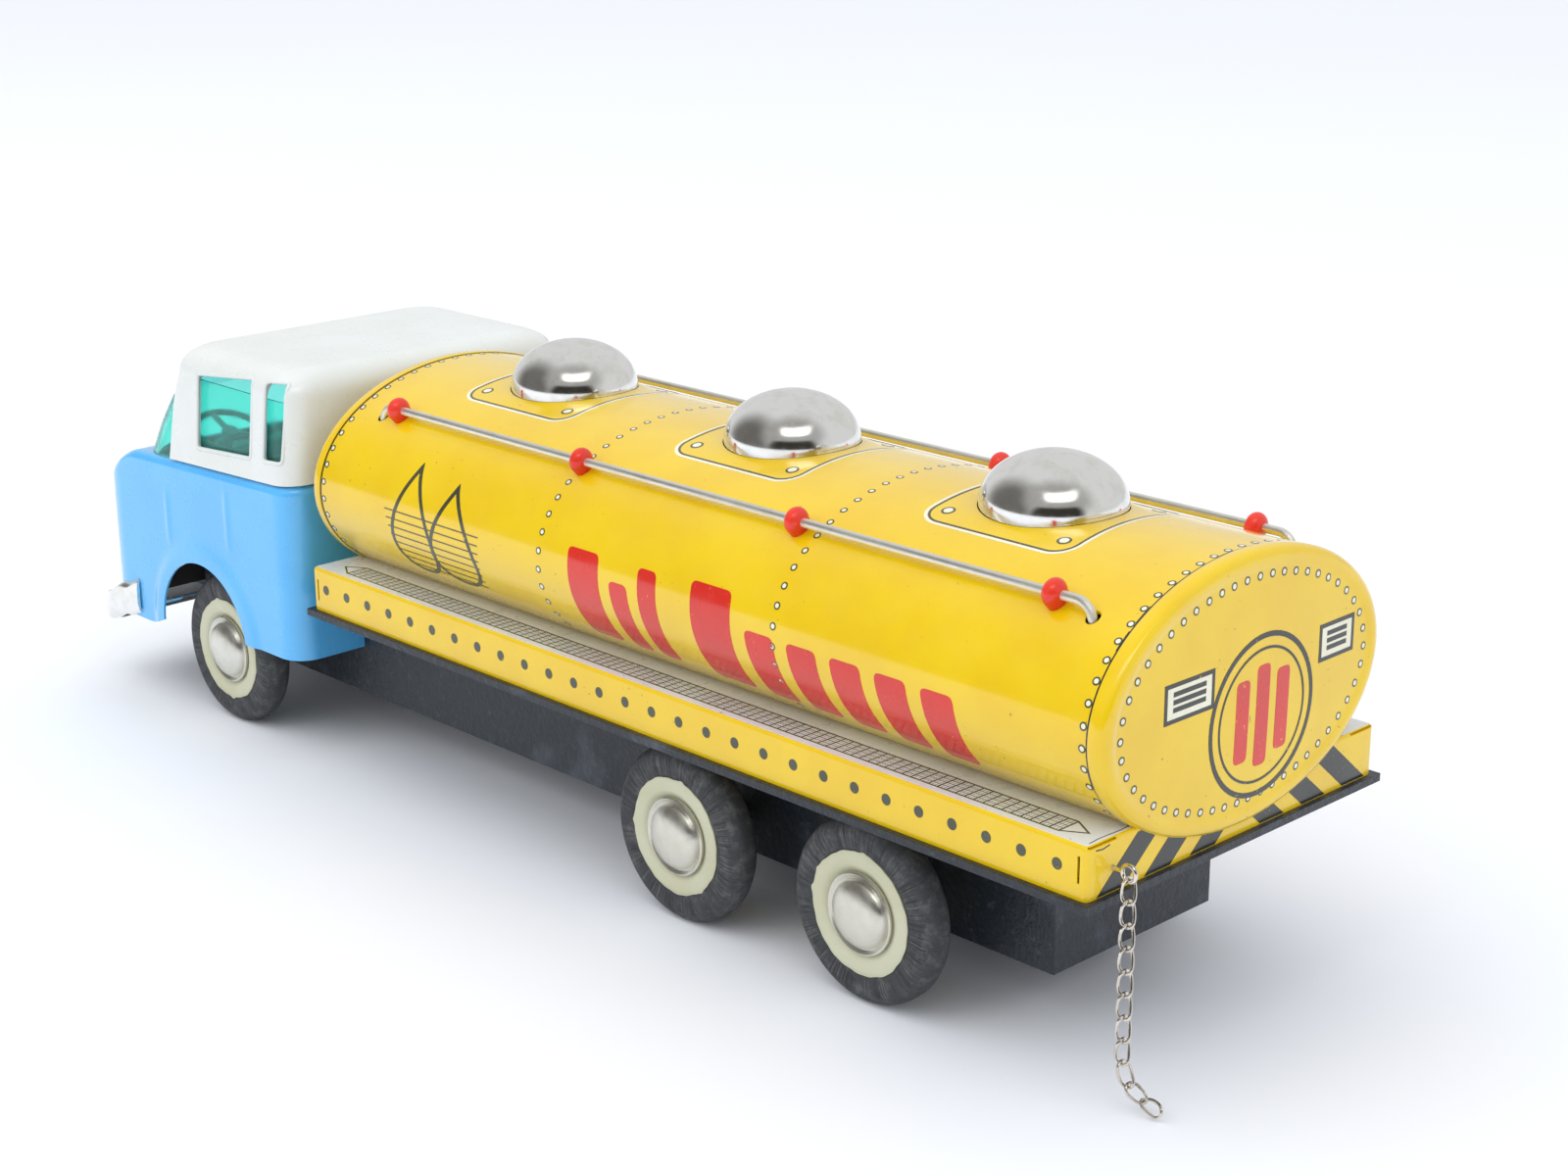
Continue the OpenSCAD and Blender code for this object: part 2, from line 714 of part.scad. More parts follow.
// Middle line of a link: an oval in its own frame, running down from the point where it hangs,
// and twisted a quarter turn from its top to its bottom
function link_point(u, span) =
    let (half_w = (link_w - link_wire) / 2,
        straight = span + 2 * link_half - 2 * half_w,
        round = PI * half_w,
        s = u * 2 * (straight + round),
        flat = s < round ? [half_w * cos(180 * s / round), half_w * sin(180 * s / round)]
            : s < round + straight ? [-half_w, round - s]
            : s < 2 * round + straight ?
                [-half_w * cos(180 * (s - round - straight) / round),
                    -straight - half_w * sin(180 * (s - round - straight) / round)]
            : [half_w, s - 2 * round - 2 * straight],
        z = flat[1] - half_w + link_half,
        turn = 90 - 90 * (link_half - z) / (span + 2 * link_half))
    [flat[0] * cos(turn), flat[0] * sin(turn), z];

// Closed wire swept along a link's middle line
module link_wire_solid(span) {
    stations = 28;
    sides = 8;
    path = [for (i = [0:stations - 1]) link_point(i / stations, span)];
    points = [for (i = [0:stations - 1]) let (
        ahead = path[(i + 1) % stations],
        behind = path[(i + stations - 1) % stations],
        t = (ahead - behind) / norm(ahead - behind),
        centre = [0, 0, -span / 2],
        raw = path[i] - centre,
        n = (raw - (raw * t) * t) / norm(raw - (raw * t) * t),
        b = cross(t, n))
        for (k = [0:sides - 1])
            path[i] + link_wire / 2 * (cos(360 * k / sides) * n + sin(360 * k / sides) * b)];
    faces = [for (i = [0:stations - 1], k = [0:sides - 1]) let (
        j = (i + 1) % stations,
        m = (k + 1) % sides)
        each [[i * sides + k, j * sides + m, i * sides + m], [i * sides + k, j * sides + k, j * sides + m]]];
    polyhedron(points, faces);
}

// One link between two neighbouring points of the chain
module chain_link(i) {
    from = CHAIN[i];
    along = CHAIN[i + 1] - from;
    span = norm(along);
    tip = acos(-along[2] / span);
    heading = atan2(along[1], along[0]);
    color("silver") translate(from) rotate([0, 0, heading]) rotate([0, -tip, 0])
        rotate([0, 0, -heading]) link_wire_solid(span);
}

// ---------- drawing ----------

chassis();
bed();
tank_shell();
tank_cap(bed_front, 1);  // tank_front_cap
tank_cap(bed_rear, -1);  // tank_rear_cap
dome(1);  // dome_front
dome(0);  // dome_middle
dome(-1);  // dome_rear
rail(1);  // rail_left
rail(-1);  // rail_right
rail_posts(1);  // rail_posts_left
rail_posts(-1);  // rail_posts_right
cab_body();
cab_roof();
cab_glazing();
seat();
dashboard();
steering_wheel();
bumper();
grille();
headlamps();
motor_frame();
axle(axle_front_x);  // axle_front
axle(axle_mid_x);  // axle_middle
axle(axle_rear_x);  // axle_rear
tyre(axle_front_x, 1);  // tyre_front_left
tyre(axle_front_x, -1);  // tyre_front_right
tyre(axle_mid_x, 1);  // tyre_middle_left
tyre(axle_mid_x, -1);  // tyre_middle_right
tyre(axle_rear_x, 1);  // tyre_rear_left
tyre(axle_rear_x, -1);  // tyre_rear_right
wheel(axle_front_x, 1);  // wheel_front_left
wheel(axle_front_x, -1);  // wheel_front_right
wheel(axle_mid_x, 1);  // wheel_middle_left
wheel(axle_mid_x, -1);  // wheel_middle_right
wheel(axle_rear_x, 1);  // wheel_rear_left
wheel(axle_rear_x, -1);  // wheel_rear_right
hubcap(axle_front_x, 1);  // hubcap_front_left
hubcap(axle_front_x, -1);  // hubcap_front_right
hubcap(axle_mid_x, 1);  // hubcap_middle_left
hubcap(axle_mid_x, -1);  // hubcap_middle_right
hubcap(axle_rear_x, 1);  // hubcap_rear_left
hubcap(axle_rear_x, -1);  // hubcap_rear_right
drive_gear();
layshaft();
layshaft_gear();
flywheel_shaft();
flywheel();
chain_hook();
chain_link(0);  // chain_link_01
chain_link(1);  // chain_link_02
chain_link(2);  // chain_link_03
chain_link(3);  // chain_link_04
chain_link(4);  // chain_link_05
chain_link(5);  // chain_link_06
chain_link(6);  // chain_link_07
chain_link(7);  // chain_link_08
chain_link(8);  // chain_link_09
chain_link(9);  // chain_link_10
chain_link(10);  // chain_link_11
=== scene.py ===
"""Looks of the tin toy tanker truck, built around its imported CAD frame.

Lengths here are millimetres, and each piece is scaled to metres when it is made.
+X points forward, +Y to the truck's left and +Z up, as in the CAD.
"""

import bisect
import math

import bmesh
import bpy
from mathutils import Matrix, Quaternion, Vector


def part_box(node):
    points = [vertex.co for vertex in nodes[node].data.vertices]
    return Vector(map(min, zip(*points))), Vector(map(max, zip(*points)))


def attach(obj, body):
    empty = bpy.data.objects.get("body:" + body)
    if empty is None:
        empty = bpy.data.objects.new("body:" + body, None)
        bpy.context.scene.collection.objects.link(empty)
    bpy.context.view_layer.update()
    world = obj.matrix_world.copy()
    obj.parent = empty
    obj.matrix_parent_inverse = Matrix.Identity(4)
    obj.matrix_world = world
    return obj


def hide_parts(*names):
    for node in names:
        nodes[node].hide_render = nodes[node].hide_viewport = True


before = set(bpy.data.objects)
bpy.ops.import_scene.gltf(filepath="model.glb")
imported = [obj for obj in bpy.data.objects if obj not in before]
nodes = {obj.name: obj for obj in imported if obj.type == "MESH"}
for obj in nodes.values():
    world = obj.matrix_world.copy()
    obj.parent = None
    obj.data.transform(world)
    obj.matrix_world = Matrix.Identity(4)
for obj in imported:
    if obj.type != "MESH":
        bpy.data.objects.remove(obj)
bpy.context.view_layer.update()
MM = 0.001
SIDES = (("left", 1), ("right", -1))
PLACES = ("front", "middle", "rear")

# ---------- camera ----------

YAW = math.radians(-43.93)
PITCH = math.radians(17.53)
ROLL = math.radians(-0.33)

camera_data = bpy.data.cameras.new("camera")
camera_data.lens = 58.76
camera_data.sensor_width = 36
camera_data.clip_end = 30
camera = bpy.data.objects.new("camera", camera_data)
forward = Vector((math.cos(YAW) * math.cos(PITCH), math.sin(YAW) * math.cos(PITCH), -math.sin(PITCH)))
camera.rotation_mode = "QUATERNION"
camera.rotation_quaternion = forward.to_track_quat("-Z", "Y") @ Quaternion((0, 0, 1), ROLL)
camera.location = Vector((-453.3, 391.6, 244.8)) * MM
bpy.context.scene.collection.objects.link(camera)
bpy.context.scene.camera = camera
bpy.context.scene.view_settings.view_transform = "Standard"


# ---------- places taken from the CAD ----------


def box(node):
    """Lowest and highest corner of a CAD node, in mm."""
    low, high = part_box(node)
    return low / MM, high / MM


bed_low, bed_high = box("bed")
shell_high = box("tank_shell")[1]
cap_low, cap_high = box("tank_rear_cap")
body_low, body_high = box("cab_body")
roof_low, roof_high = box("cab_roof")
glass_low, glass_high = box("cab_glazing")
chassis_high = box("chassis")[1]
bumper_low, bumper_high = box("bumper")
post_low, post_high = box("rail_posts_left")

DECK_Z = bed_high.z
TANK_A = shell_high.y
TANK_Z = (cap_low.z + cap_high.z) / 2
TANK_B = shell_high.z - TANK_Z
DOMES = [sum(v.x for v in box(f"dome_{k}")) / 2 for k in PLACES]
dome_low, dome_high = box("dome_front")
DOME_R = (dome_high.x - dome_low.x) / 2
DOME_TOP = dome_high.z
WHEELS = {k: sum(box(f"tyre_{k}_left"), Vector()) / 2 for k in PLACES}


# ---------- materials ----------


def rgb(r, g, b):
    """Screen colour from 0 to 255 as the linear colour that shaders take."""
    return tuple(((c / 255 + 0.055) / 1.055) ** 2.4 if c > 10 else c / 3294.6 for c in (r, g, b)) + (1.0,)


class Nodes:
    """A node tree, with short calls to add nodes and join them."""

    def __init__(self, tree):
        self.tree = tree
        self.place = self.add("TexCoord")

    def put(self, value, socket):
        """Joins an output to a socket, or sets the socket to a plain value."""
        if isinstance(value, bpy.types.NodeSocket):
            self.tree.links.new(value, socket)
        else:
            socket.default_value = value

    def add(self, kind, **values):
        """New node, with some of its sockets joined or set by name."""
        node = self.tree.nodes.new("ShaderNode" + kind)
        for name, value in values.items():
            self.put(value, node.inputs[name.replace("_", " ")])
        return node

    def noise(self, scale, detail=3.0, rough=0.55, vector=None, stretch=None):
        source = vector or self.place.outputs["Object"]
        if stretch:
            source = self.add("Mapping", Scale=stretch, Vector=source).outputs["Vector"]
        return self.add("TexNoise", Scale=scale, Detail=detail, Roughness=rough, Vector=source).outputs["Fac"]

    def ramp(self, value, low, high, a=0.0, b=1.0):
        node = self.add("MapRange", Value=value, From_Min=low, From_Max=high, To_Min=a, To_Max=b)
        node.interpolation_type = "SMOOTHSTEP"
        return node.outputs["Result"]

    def mix(self, share, a, b):
        node = self.add("Mix")
        node.data_type = "RGBA"
        self.put(share, node.inputs["Factor"])
        self.put(a, node.inputs[6])
        self.put(b, node.inputs[7])
        return node.outputs[2]

    def math(self, kind, a, b):
        node = self.add("Math")
        node.operation = kind
        self.put(a, node.inputs[0])
        self.put(b, node.inputs[1])
        return node.outputs[0]

    def vector(self, kind, a, b=None):
        node = self.add("VectorMath")
        node.operation = kind
        self.put(a, node.inputs[0])
        if b is not None:
            self.put(b, node.inputs[1])
        return node.outputs["Value" if kind in ("LENGTH", "DOT_PRODUCT") else "Vector"]


class Finish(Nodes):
    """A material with its shader."""

    def __init__(self, name):
        self.material = bpy.data.materials.new(name)
        self.material.use_nodes = True
        super().__init__(self.material.node_tree)
        self.shader = self.tree.nodes["Principled BSDF"]

    def set(self, **values):
        """Joins or sets the shader's sockets by name."""
        for name, value in values.items():
            self.put(value, self.shader.inputs[name.replace("_", " ")])

    def bump(self, height, depth_mm, strength=1.0):
        node = self.add("Bump", Strength=strength, Distance=depth_mm * MM, Height=height)
        self.set(Normal=node.outputs["Normal"])


def paint(name, colour, shade, rough=0.22, grain=900, depth=0.006, specks=None, amount=0.7, **fixed):
    """Painted, printed or moulded surface: soft colour drift, fine bump and small worn specks."""
    n = Finish(name)
    colours = n.mix(n.ramp(n.noise(45, 4), 0.35, 0.68), colour, shade)
    if specks:
        worn = n.ramp(n.noise(1100, 2, 0.4), amount, amount + 0.03)
        patch = n.ramp(n.noise(70, 2), 0.5, 0.62)
        colours = n.mix(n.math("MULTIPLY", worn, patch), colours, specks)
    n.set(Base_Color=colours, Roughness=n.ramp(n.noise(160, 4), 0.3, 0.7, rough * 0.8, rough * 1.35))
    n.bump(n.noise(grain, 3), depth)
    n.set(**fixed)
    return n.material


def printed(name, colour, shade, specks=None):
    """Ink of the printed lines and dots."""
    return paint(name, colour, shade, 0.25, 700, 0.005, specks, Coat_Weight=0.4)


def metal(name, colour, shade, rough, depth=0.004, stretch=(1, 1, 1), grain=700):
    """Bare or plated metal with fine wear, and dull spots in its gloss."""
    n = Finish(name)
    spots = n.ramp(n.noise(260, 5, 0.6), 0.42, 0.66)
    gloss = n.noise(grain, 4, 0.6, stretch=stretch)
    n.set(Base_Color=n.mix(spots, colour, shade))
    n.set(Roughness=n.ramp(gloss, 0.35, 0.75, rough * 0.85, rough * 1.25))
    n.bump(n.noise(grain * 0.5, 3, 0.5, stretch=stretch), depth)
    n.set(Metallic=1.0)
    return n.material


YELLOW = paint("yellow_litho", rgb(235, 199, 4), rgb(230, 191, 3), 0.2, 500, 0.002, rgb(150, 120, 40), 0.73,
               Coat_Weight=0.6, Coat_Roughness=0.05)
DECK = paint("deck_silver", rgb(222, 228, 236), rgb(214, 219, 226), 0.3, 800, 0.006, rgb(150, 140, 100), 0.71,
             Coat_Weight=0.3, Coat_Roughness=0.12)
BLUE = paint("blue_enamel", rgb(88, 184, 244), rgb(82, 178, 241), 0.22, 60, 0.01,
             Coat_Weight=0.7, Coat_Roughness=0.05)
WHITE = paint("white_moulding", rgb(224, 228, 225), rgb(220, 224, 219), 0.3, 60, 0.01,
              Coat_Weight=0.2, Coat_Roughness=0.15)
RED = paint("red_plastic", rgb(232, 52, 28), rgb(220, 44, 22), 0.28, 900, 0.005, rgb(240, 140, 110), 0.74,
            Coat_Weight=0.3)
CREAM = paint("cream_plastic", rgb(203, 203, 176), rgb(194, 193, 162), 0.42, 700, 0.01,
              rgb(150, 148, 124), 0.74)
BROWN = paint("brown_moulding", rgb(110, 52, 34), rgb(92, 42, 28), 0.5, 700, 0.02)
TEAL = paint("teal_moulding", rgb(30, 128, 118), rgb(24, 110, 104), 0.45, 700, 0.02)
GREY = paint("grey_moulding", rgb(150, 152, 152), rgb(132, 136, 136), 0.45, 700, 0.02)
PRINT_DARK = printed("print_olive", rgb(72, 74, 52), rgb(60, 62, 44), rgb(200, 170, 40))
PRINT_BLACK = printed("print_black", rgb(44, 46, 42), rgb(34, 36, 34), rgb(150, 130, 50))
PRINT_WHITE = printed("print_white", rgb(238, 236, 214), rgb(228, 224, 196))
PRINT_RED = paint("print_red", rgb(214, 40, 22), rgb(204, 34, 20), 0.22, 600, 0.006, rgb(232, 150, 40), 0.7,
                  Coat_Weight=0.5, Coat_Roughness=0.08)
CHROME = metal("dome_plating", rgb(240, 239, 235), rgb(230, 228, 222), 0.13, 0.0003)
DULL = metal("hubcap_metal", rgb(226, 224, 212), rgb(221, 218, 205), 0.34, 0.0002)
NICKEL = metal("nickel_wire", rgb(232, 226, 216), rgb(212, 204, 192), 0.16, 0.001)
WIRE = metal("rail_wire", rgb(244, 242, 232), rgb(238, 235, 223), 0.5, 0.0001, (0.05, 1, 1))
STEEL = metal("steel", rgb(170, 170, 172), rgb(130, 130, 132), 0.35, 0.01)
BRASS = metal("brass", rgb(214, 176, 96), rgb(176, 138, 70), 0.32, 0.01)


def crinkle():
    """Dark crinkled paint of the chassis, with pale specks in its colour that are partly dust and partly
    painted glints on the high spots of the crinkle.
    """
    n = Finish("black_crinkle")
    rough_height = n.noise(620, 5, 0.62)
    # Pale specks: partly dust, partly painted glints on the crinkle.
    pale_specks = n.ramp(n.noise(480, 6, 0.7), 0.55, 0.8)
    worn = n.ramp(n.noise(60, 4), 0.55, 0.75, 0.0, 0.35)
    base = n.mix(pale_specks, rgb(34, 39, 46), rgb(84, 94, 106))
    n.set(Base_Color=n.mix(worn, base, rgb(100, 108, 118)), Roughness=n.ramp(pale_specks, 0.0, 1.0, 0.34, 0.6))
    n.bump(rough_height, 0.4, 0.9)
    return n.material


def rubber():
    """Charcoal tyre with pale radial scuffs near its shoulder. UV holds the place across the wheel's face."""
    n = Finish("tyre_rubber")
    centred = n.vector("SUBTRACT", n.place.outputs["UV"], (0.5, 0.5, 0.0))
    radius = n.vector("LENGTH", centred)
    streaks = n.noise(34, 5, 0.8, vector=n.vector("NORMALIZE", centred))
    band = n.math("MULTIPLY", n.ramp(radius, 0.33, 0.37), n.ramp(radius, 0.42, 0.48, 1.0, 0.1))
    cracks = n.math("MULTIPLY", n.ramp(streaks, 0.5, 0.6), band)
    pale = n.math("MULTIPLY", n.ramp(streaks, 0.46, 0.36), n.math("MULTIPLY", band, n.noise(420, 4)))
    pale_specks = n.ramp(n.noise(330, 6, 0.75), 0.45, 0.72, 0.0, 0.75)
    base = n.mix(pale_specks, rgb(60, 62, 65), rgb(104, 106, 106))
    base = n.mix(pale, base, rgb(128, 128, 124))
    n.set(Base_Color=n.mix(cracks, base, rgb(34, 35, 37)))
    n.set(Roughness=n.ramp(n.noise(300, 4), 0.3, 0.7, 0.55, 0.8))
    n.bump(n.math("ADD", n.noise(900, 4), n.math("MULTIPLY", streaks, 1.5)), 0.12, 0.8)
    return n.material


def clear_teal():
    """Tinted clear plastic."""
    n = Finish("teal_glazing")
    drift = n.noise(120, 3)
    n.set(Base_Color=n.mix(drift, rgb(142, 252, 240), rgb(136, 250, 236)))
    n.set(Roughness=n.ramp(drift, 0.3, 0.7, 0.04, 0.12))
    n.bump(n.noise(60, 2), 0.03)
    n.set(IOR=1.3, Transmission_Weight=0.92)
    return n.material


# Painted shade: dark colour on the cab's inside faces, standing in for the shade in the tub and wheel wells.
PAINTED_SHADE_INSIDE = paint("inside_painted_shade", rgb(54, 50, 48), rgb(44, 41, 40), 0.5, 700, 0.01)
CRINKLE = crinkle()
RUBBER = rubber()
GLASS = clear_teal()


# ---------- meshes ----------


def solid(name, verts, faces, sharp=30):
    """Plain object from a mesh in mm, smooth apart from edges sharper than an angle in degrees."""
    mesh = bpy.data.meshes.new(name)
    mesh.from_pydata([Vector(v) * MM for v in verts], [], faces)
    obj = bpy.data.objects.new(name, mesh)
    bpy.context.scene.collection.objects.link(obj)
    bm = bmesh.new()
    bm.from_mesh(mesh)
    bmesh.ops.recalc_face_normals(bm, faces=bm.faces)
    bm.to_mesh(mesh)
    bm.free()
    shade(mesh, sharp)
    return obj


def shade(mesh, sharp):
    mesh.shade_smooth()
    mesh.set_sharp_from_angle(angle=math.radians(sharp))


def make(name, verts, faces, mats, body="truck", replaces=(), slot=None, sharp=32, index=None, uv=None):
    """New piece from a mesh in mm, riding on a body."""
    obj = solid(name, verts, faces, sharp)
    mesh = obj.data
    for m in mats if isinstance(mats, list) else [mats]:
        mesh.materials.append(m)
    if index:
        mesh.polygons.foreach_set("material_index", index)
    if uv:
        layer = mesh.uv_layers.new(name="UVMap")
        for loop in mesh.loops:
            layer.data[loop.index].uv = uv[loop.vertex_index]
    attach(obj, body)
    if replaces:
        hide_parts(*replaces)
    return obj


def loft(rings, close=False):
    """Mesh through rings of equal length, with a face on each end unless it closes on itself."""
    count = len(rings[0])
    verts = [v for ring in rings for v in ring]
    faces = []
    spans = len(rings) if close else len(rings) - 1
    for r in range(spans):
        a, b = r * count, (r + 1) % len(rings) * count
        for i in range(count):
            j = (i + 1) % count
            faces.append((a + i, a + j, b + j, b + i))
    if not close:
        faces.append(tuple(range(count - 1, -1, -1)))
        faces.append(tuple(range((len(rings) - 1) * count, len(rings) * count)))
    return verts, faces


def lathe(profile, place, n=96, closed=False):
    """Turned mesh from (radius, height) points. place(radius, height, angle) gives each point."""
    verts, rows, uv = [], [], []
    widest = max(r for r, h in profile)
    for r, h in profile:
        count = 1 if r < 1e-6 else n
        rows.append([len(verts) + i for i in range(count)])
        for i in range(count):
            angle = 2 * math.pi * i / n
            verts.append(place(r, h, angle))
            share = r / widest / 2
            uv.append((0.5 + share * math.cos(angle), 0.5 + share * math.sin(angle)))
    faces = []
    pairs = list(zip(rows, rows[1:]))
    if closed:
        pairs.append((rows[-1], rows[0]))
    for a, b in pairs:
        for i in range(n):
            j = (i + 1) % n
            corners = (a[i % len(a)], a[j % len(a)], b[j % len(b)], b[i % len(b)])
            faces.append(tuple(dict.fromkeys(corners)))
    return verts, faces, uv


def tube(path, radius, n=16, close=False):
    """Round bar along a path of points."""
    points = [Vector(p) for p in path]
    rings = []
    side = None
    for i, p in enumerate(points):
        before = points[i - 1] if i or close else p
        after = points[(i + 1) % len(points)] if i < len(points) - 1 or close else p
        along = (after - before).normalized()
        if side is None:
            side = along.orthogonal().normalized()
        side = (side - along * side.dot(along)).normalized()
        other = along.cross(side)
        rings.append([p + radius * (math.cos(a) * side + math.sin(a) * other)
                      for a in (2 * math.pi * k / n for k in range(n))])
    return loft(rings, close)


def quarter(n):
    """Angles of a quarter turn in n steps, both ends among them."""
    return [math.pi / 2 * i / n for i in range(n + 1)]


def spread(low, high, pitch):
    """Evenly spaced places between two ends, about a pitch apart."""
    n = max(round((high - low) / pitch), 1)
    return [low + (high - low) * i / n for i in range(n + 1)]


def cutter(points, axis, low, high):
    """Prism over a 2-D outline, along X, Y or Z between two places."""
    def at(p, w):
        return [(w, p[0], p[1]), (p[0], w, p[1]), (p[0], p[1], w)][axis]
    return solid("cutter", *loft([[at(p, low) for p in points], [at(p, high) for p in points]]))


def rect(u0, v0, u1, v1):
    return [(u0, v0), (u1, v0), (u1, v1), (u0, v1)]


def circle(u, v, r, n=48):
    return [(u + r * math.cos(2 * math.pi * i / n), v + r * math.sin(2 * math.pi * i / n)) for i in range(n)]


def modifier(obj, kind, **values):
    mod = obj.modifiers.new(kind.lower(), kind)
    for name, value in values.items():
        setattr(mod, name, value)


def cut(obj, cutters, sharp=32):
    """Takes each cutter out of obj, for good."""
    for c in cutters:
        modifier(obj, "BOOLEAN", operation="DIFFERENCE", solver="EXACT", object=c)
    bpy.context.view_layer.update()
    done = bpy.data.meshes.new_from_object(obj.evaluated_get(bpy.context.evaluated_depsgraph_get()))
    obj.modifiers.clear()
    obj.data = done
    for c in cutters:
        bpy.data.objects.remove(c)
    bm = bmesh.new()
    bm.from_mesh(done)
    bmesh.ops.remove_doubles(bm, verts=bm.verts, dist=0.004 * MM)
    bmesh.ops.dissolve_degenerate(bm, edges=bm.edges, dist=0.002 * MM)
    bm.to_mesh(done)
    bm.free()
    shade(done, sharp)


def keep_cad(node, mat, bevel=0.0, wire=False):
    """CAD node that stays, with its finish. A bevel softens its edges, and wire is made round."""
    obj = nodes[node]
    obj.data.materials.clear()
    obj.data.materials.append(mat)
    if bevel or wire:
        modifier(obj, "WELD", merge_threshold=0.002 * MM)
    if bevel:
        modifier(obj, "DECIMATE", decimate_type="DISSOLVE", angle_limit=math.radians(1))
        modifier(obj, "BEVEL", width=bevel * MM, segments=2, limit_method="ANGLE",
                 angle_limit=math.radians(35), use_clamp_overlap=True)
    if wire:
        modifier(obj, "SUBSURF", levels=1, render_levels=1)
        modifier(obj, "DISPLACE", mid_level=0, strength=0.02 * MM)


# ---------- tank ----------


def oval_table(a, b, steps=3000):
    """Lengths along the oval from its top, and the angle at each."""
    lengths, angles = [0.0], [0.0]
    y, z = 0.0, b
    for i in range(1, steps + 1):
        q = math.pi * i / steps
        y1, z1 = a * math.sin(q), b * math.cos(q)
        lengths.append(lengths[-1] + math.hypot(y1 - y, z1 - z))
        angles.append(q)
        y, z = y1, z1
    return lengths, angles


OVAL = oval_table(TANK_A, TANK_B)


def oval_at(t):
    """Point and normal of the oval at a length t from its top, positive to the left."""
    lengths, angles = OVAL
    i = min(max(bisect.bisect(lengths, abs(t)), 1), len(lengths) - 1)
    share = (abs(t) - lengths[i - 1]) / (lengths[i] - lengths[i - 1])
    q = angles[i - 1] + share * (angles[i] - angles[i - 1])
    side = 1 if t >= 0 else -1
    y, z = TANK_A * math.sin(q), TANK_B * math.cos(q)
    n = Vector((y / TANK_A**2, z / TANK_B**2)).normalized()
    return side * y, TANK_Z + z, side * n.x, n.y


def smooth(v, low, high):
    v = min(max((v - low) / (high - low), 0), 1)
    return v * v * (3 - 2 * v)


def dome_lift(x, y, z):
    """How far the sheet is pressed up around the nearest dome."""
    nearest = min(DOMES, key=lambda d: abs(d - x))
    reach = math.hypot(x - nearest, y)
    return 0.35 * (TANK_Z + TANK_B - z) * (1 - smooth(reach, 15.8, 19.6))


def on_tank(x, t, h=0.0):
    """Place on the tank's skin: along it, round it from the top, and above it."""
    y, z, ny, nz = oval_at(t)
    lift = dome_lift(x, y, z) if z > TANK_Z + 15 else 0.0
    return (x, y + ny * h, z + lift + nz * h)


FOOT = next(t for t, q in zip(*OVAL) if TANK_Z + TANK_B * math.cos(q) < DECK_Z - 0.2)
SKIN_T = 0.5


def build_shell():
    """Sheet wrapped round the tank, with holes for the domes and rails."""
    columns = 104
    ts = [FOOT * (2 * i / columns - 1) for i in range(columns + 1)]
    length = bed_high.x - bed_low.x
    rows = round(length / 1.6)
    xs = [bed_low.x + 0.6 + (length - 1.2) * i / rows for i in range(rows + 1)]
    rings = [[on_tank(x, t) for t in ts] + [on_tank(x, t, -SKIN_T) for t in reversed(ts)] for x in xs]
    obj = make("tank_skin", *loft(rings), YELLOW, replaces=["tank_shell"], slot="yellow_litho", sharp=40)
    cutters = [cutter(circle(d, 0, DOME_R + 0.2, 72), 2, 94, 106) for d in DOMES]
    for side in ("left", "right"):
        low, high = box(f"rail_{side}")
        for x in (low.x + 1, high.x - 1):
            cutters.append(cutter(circle(x, (high.y + low.y) / 2, 1.5, 24), 2, 88, 98))
    cut(obj, cutters, 40)


build_shell()

CAP_ROLL = 4.3


def cap_crown(y, z):
    """How far the cap's face stands out past the tank's end."""
    reach = math.hypot(y / (TANK_A - CAP_ROLL), (z - TANK_Z) / (TANK_B - CAP_ROLL))
    return 0.75 + 0.45 * max(0.0, 1 - reach * reach)


def build_cap(name, node, end, way):
    """Pressed oval end: a rolled edge, a shallow groove and a slightly crowned face."""
    n = 180
    roll = [(-0.22, -2.6), (-0.28, -2.45), (-0.26, -0.4), (0.1, 0.35), (0.6, 0.85), (1.4, 1.15), (2.4, 1.2),
            (3.3, 1.0), (3.9, 0.8)]

    def ring(a, b, x):
        return [(end + way * x, a * math.cos(2 * math.pi * i / n), TANK_Z + b * math.sin(2 * math.pi * i / n))
                for i in range(n)]

    rings = [ring((TANK_A - 8) * 0.1, (TANK_B - 8) * 0.1, 0.2), ring(TANK_A - 5, TANK_B - 5, 0.2)]
    rings += [ring(TANK_A - 1.0, TANK_B - 1.0, 0.0), ring(TANK_A - 0.45, TANK_B - 0.45, -2.6)]
    rings += [ring(TANK_A - inset, TANK_B - inset, x) for inset, x in roll]
    for k in range(12, 0, -1):
        share = k / 12
        a, b = (TANK_A - CAP_ROLL) * share, (TANK_B - CAP_ROLL) * share
        rings.append(ring(a, b, cap_crown(a, TANK_Z)))
    make(name, *loft(rings), YELLOW, replaces=[node], slot="yellow_litho", sharp=50)


build_cap("tank_rear_end", "tank_rear_cap", bed_low.x, -1)
build_cap("tank_front_end", "tank_front_cap", bed_high.x, 1)

DOME_RISE = 11.0

for k, dome_x in zip(PLACES, DOMES):
    skirt = box(f"dome_{k}")[0].z
    profile = [(0, skirt + 1), (DOME_R - 1, skirt + 1), (DOME_R - 0.6, skirt), (DOME_R, skirt + 0.3)]
    profile += [(DOME_R * math.cos(a), DOME_TOP - DOME_RISE * (1 - math.sin(a))) for a in quarter(22)[:-1]]
    profile += [(0, DOME_TOP)]
    turned = lathe(profile, lambda r, h, a: (dome_x + r * math.cos(a), r * math.sin(a), h), 96)
    make(f"dome_{k}_plated", turned[0], turned[1], CHROME, replaces=[f"dome_{k}"], slot="chrome", sharp=50)


# ---------- rails and posts ----------

BEND = 4.0
rail_low, rail_high = box("rail_left")
RAIL_Y = (rail_low.y + rail_high.y) / 2
RAIL_R = (rail_high.y - rail_low.y) / 2
RAIL_Z = rail_high.z - RAIL_R


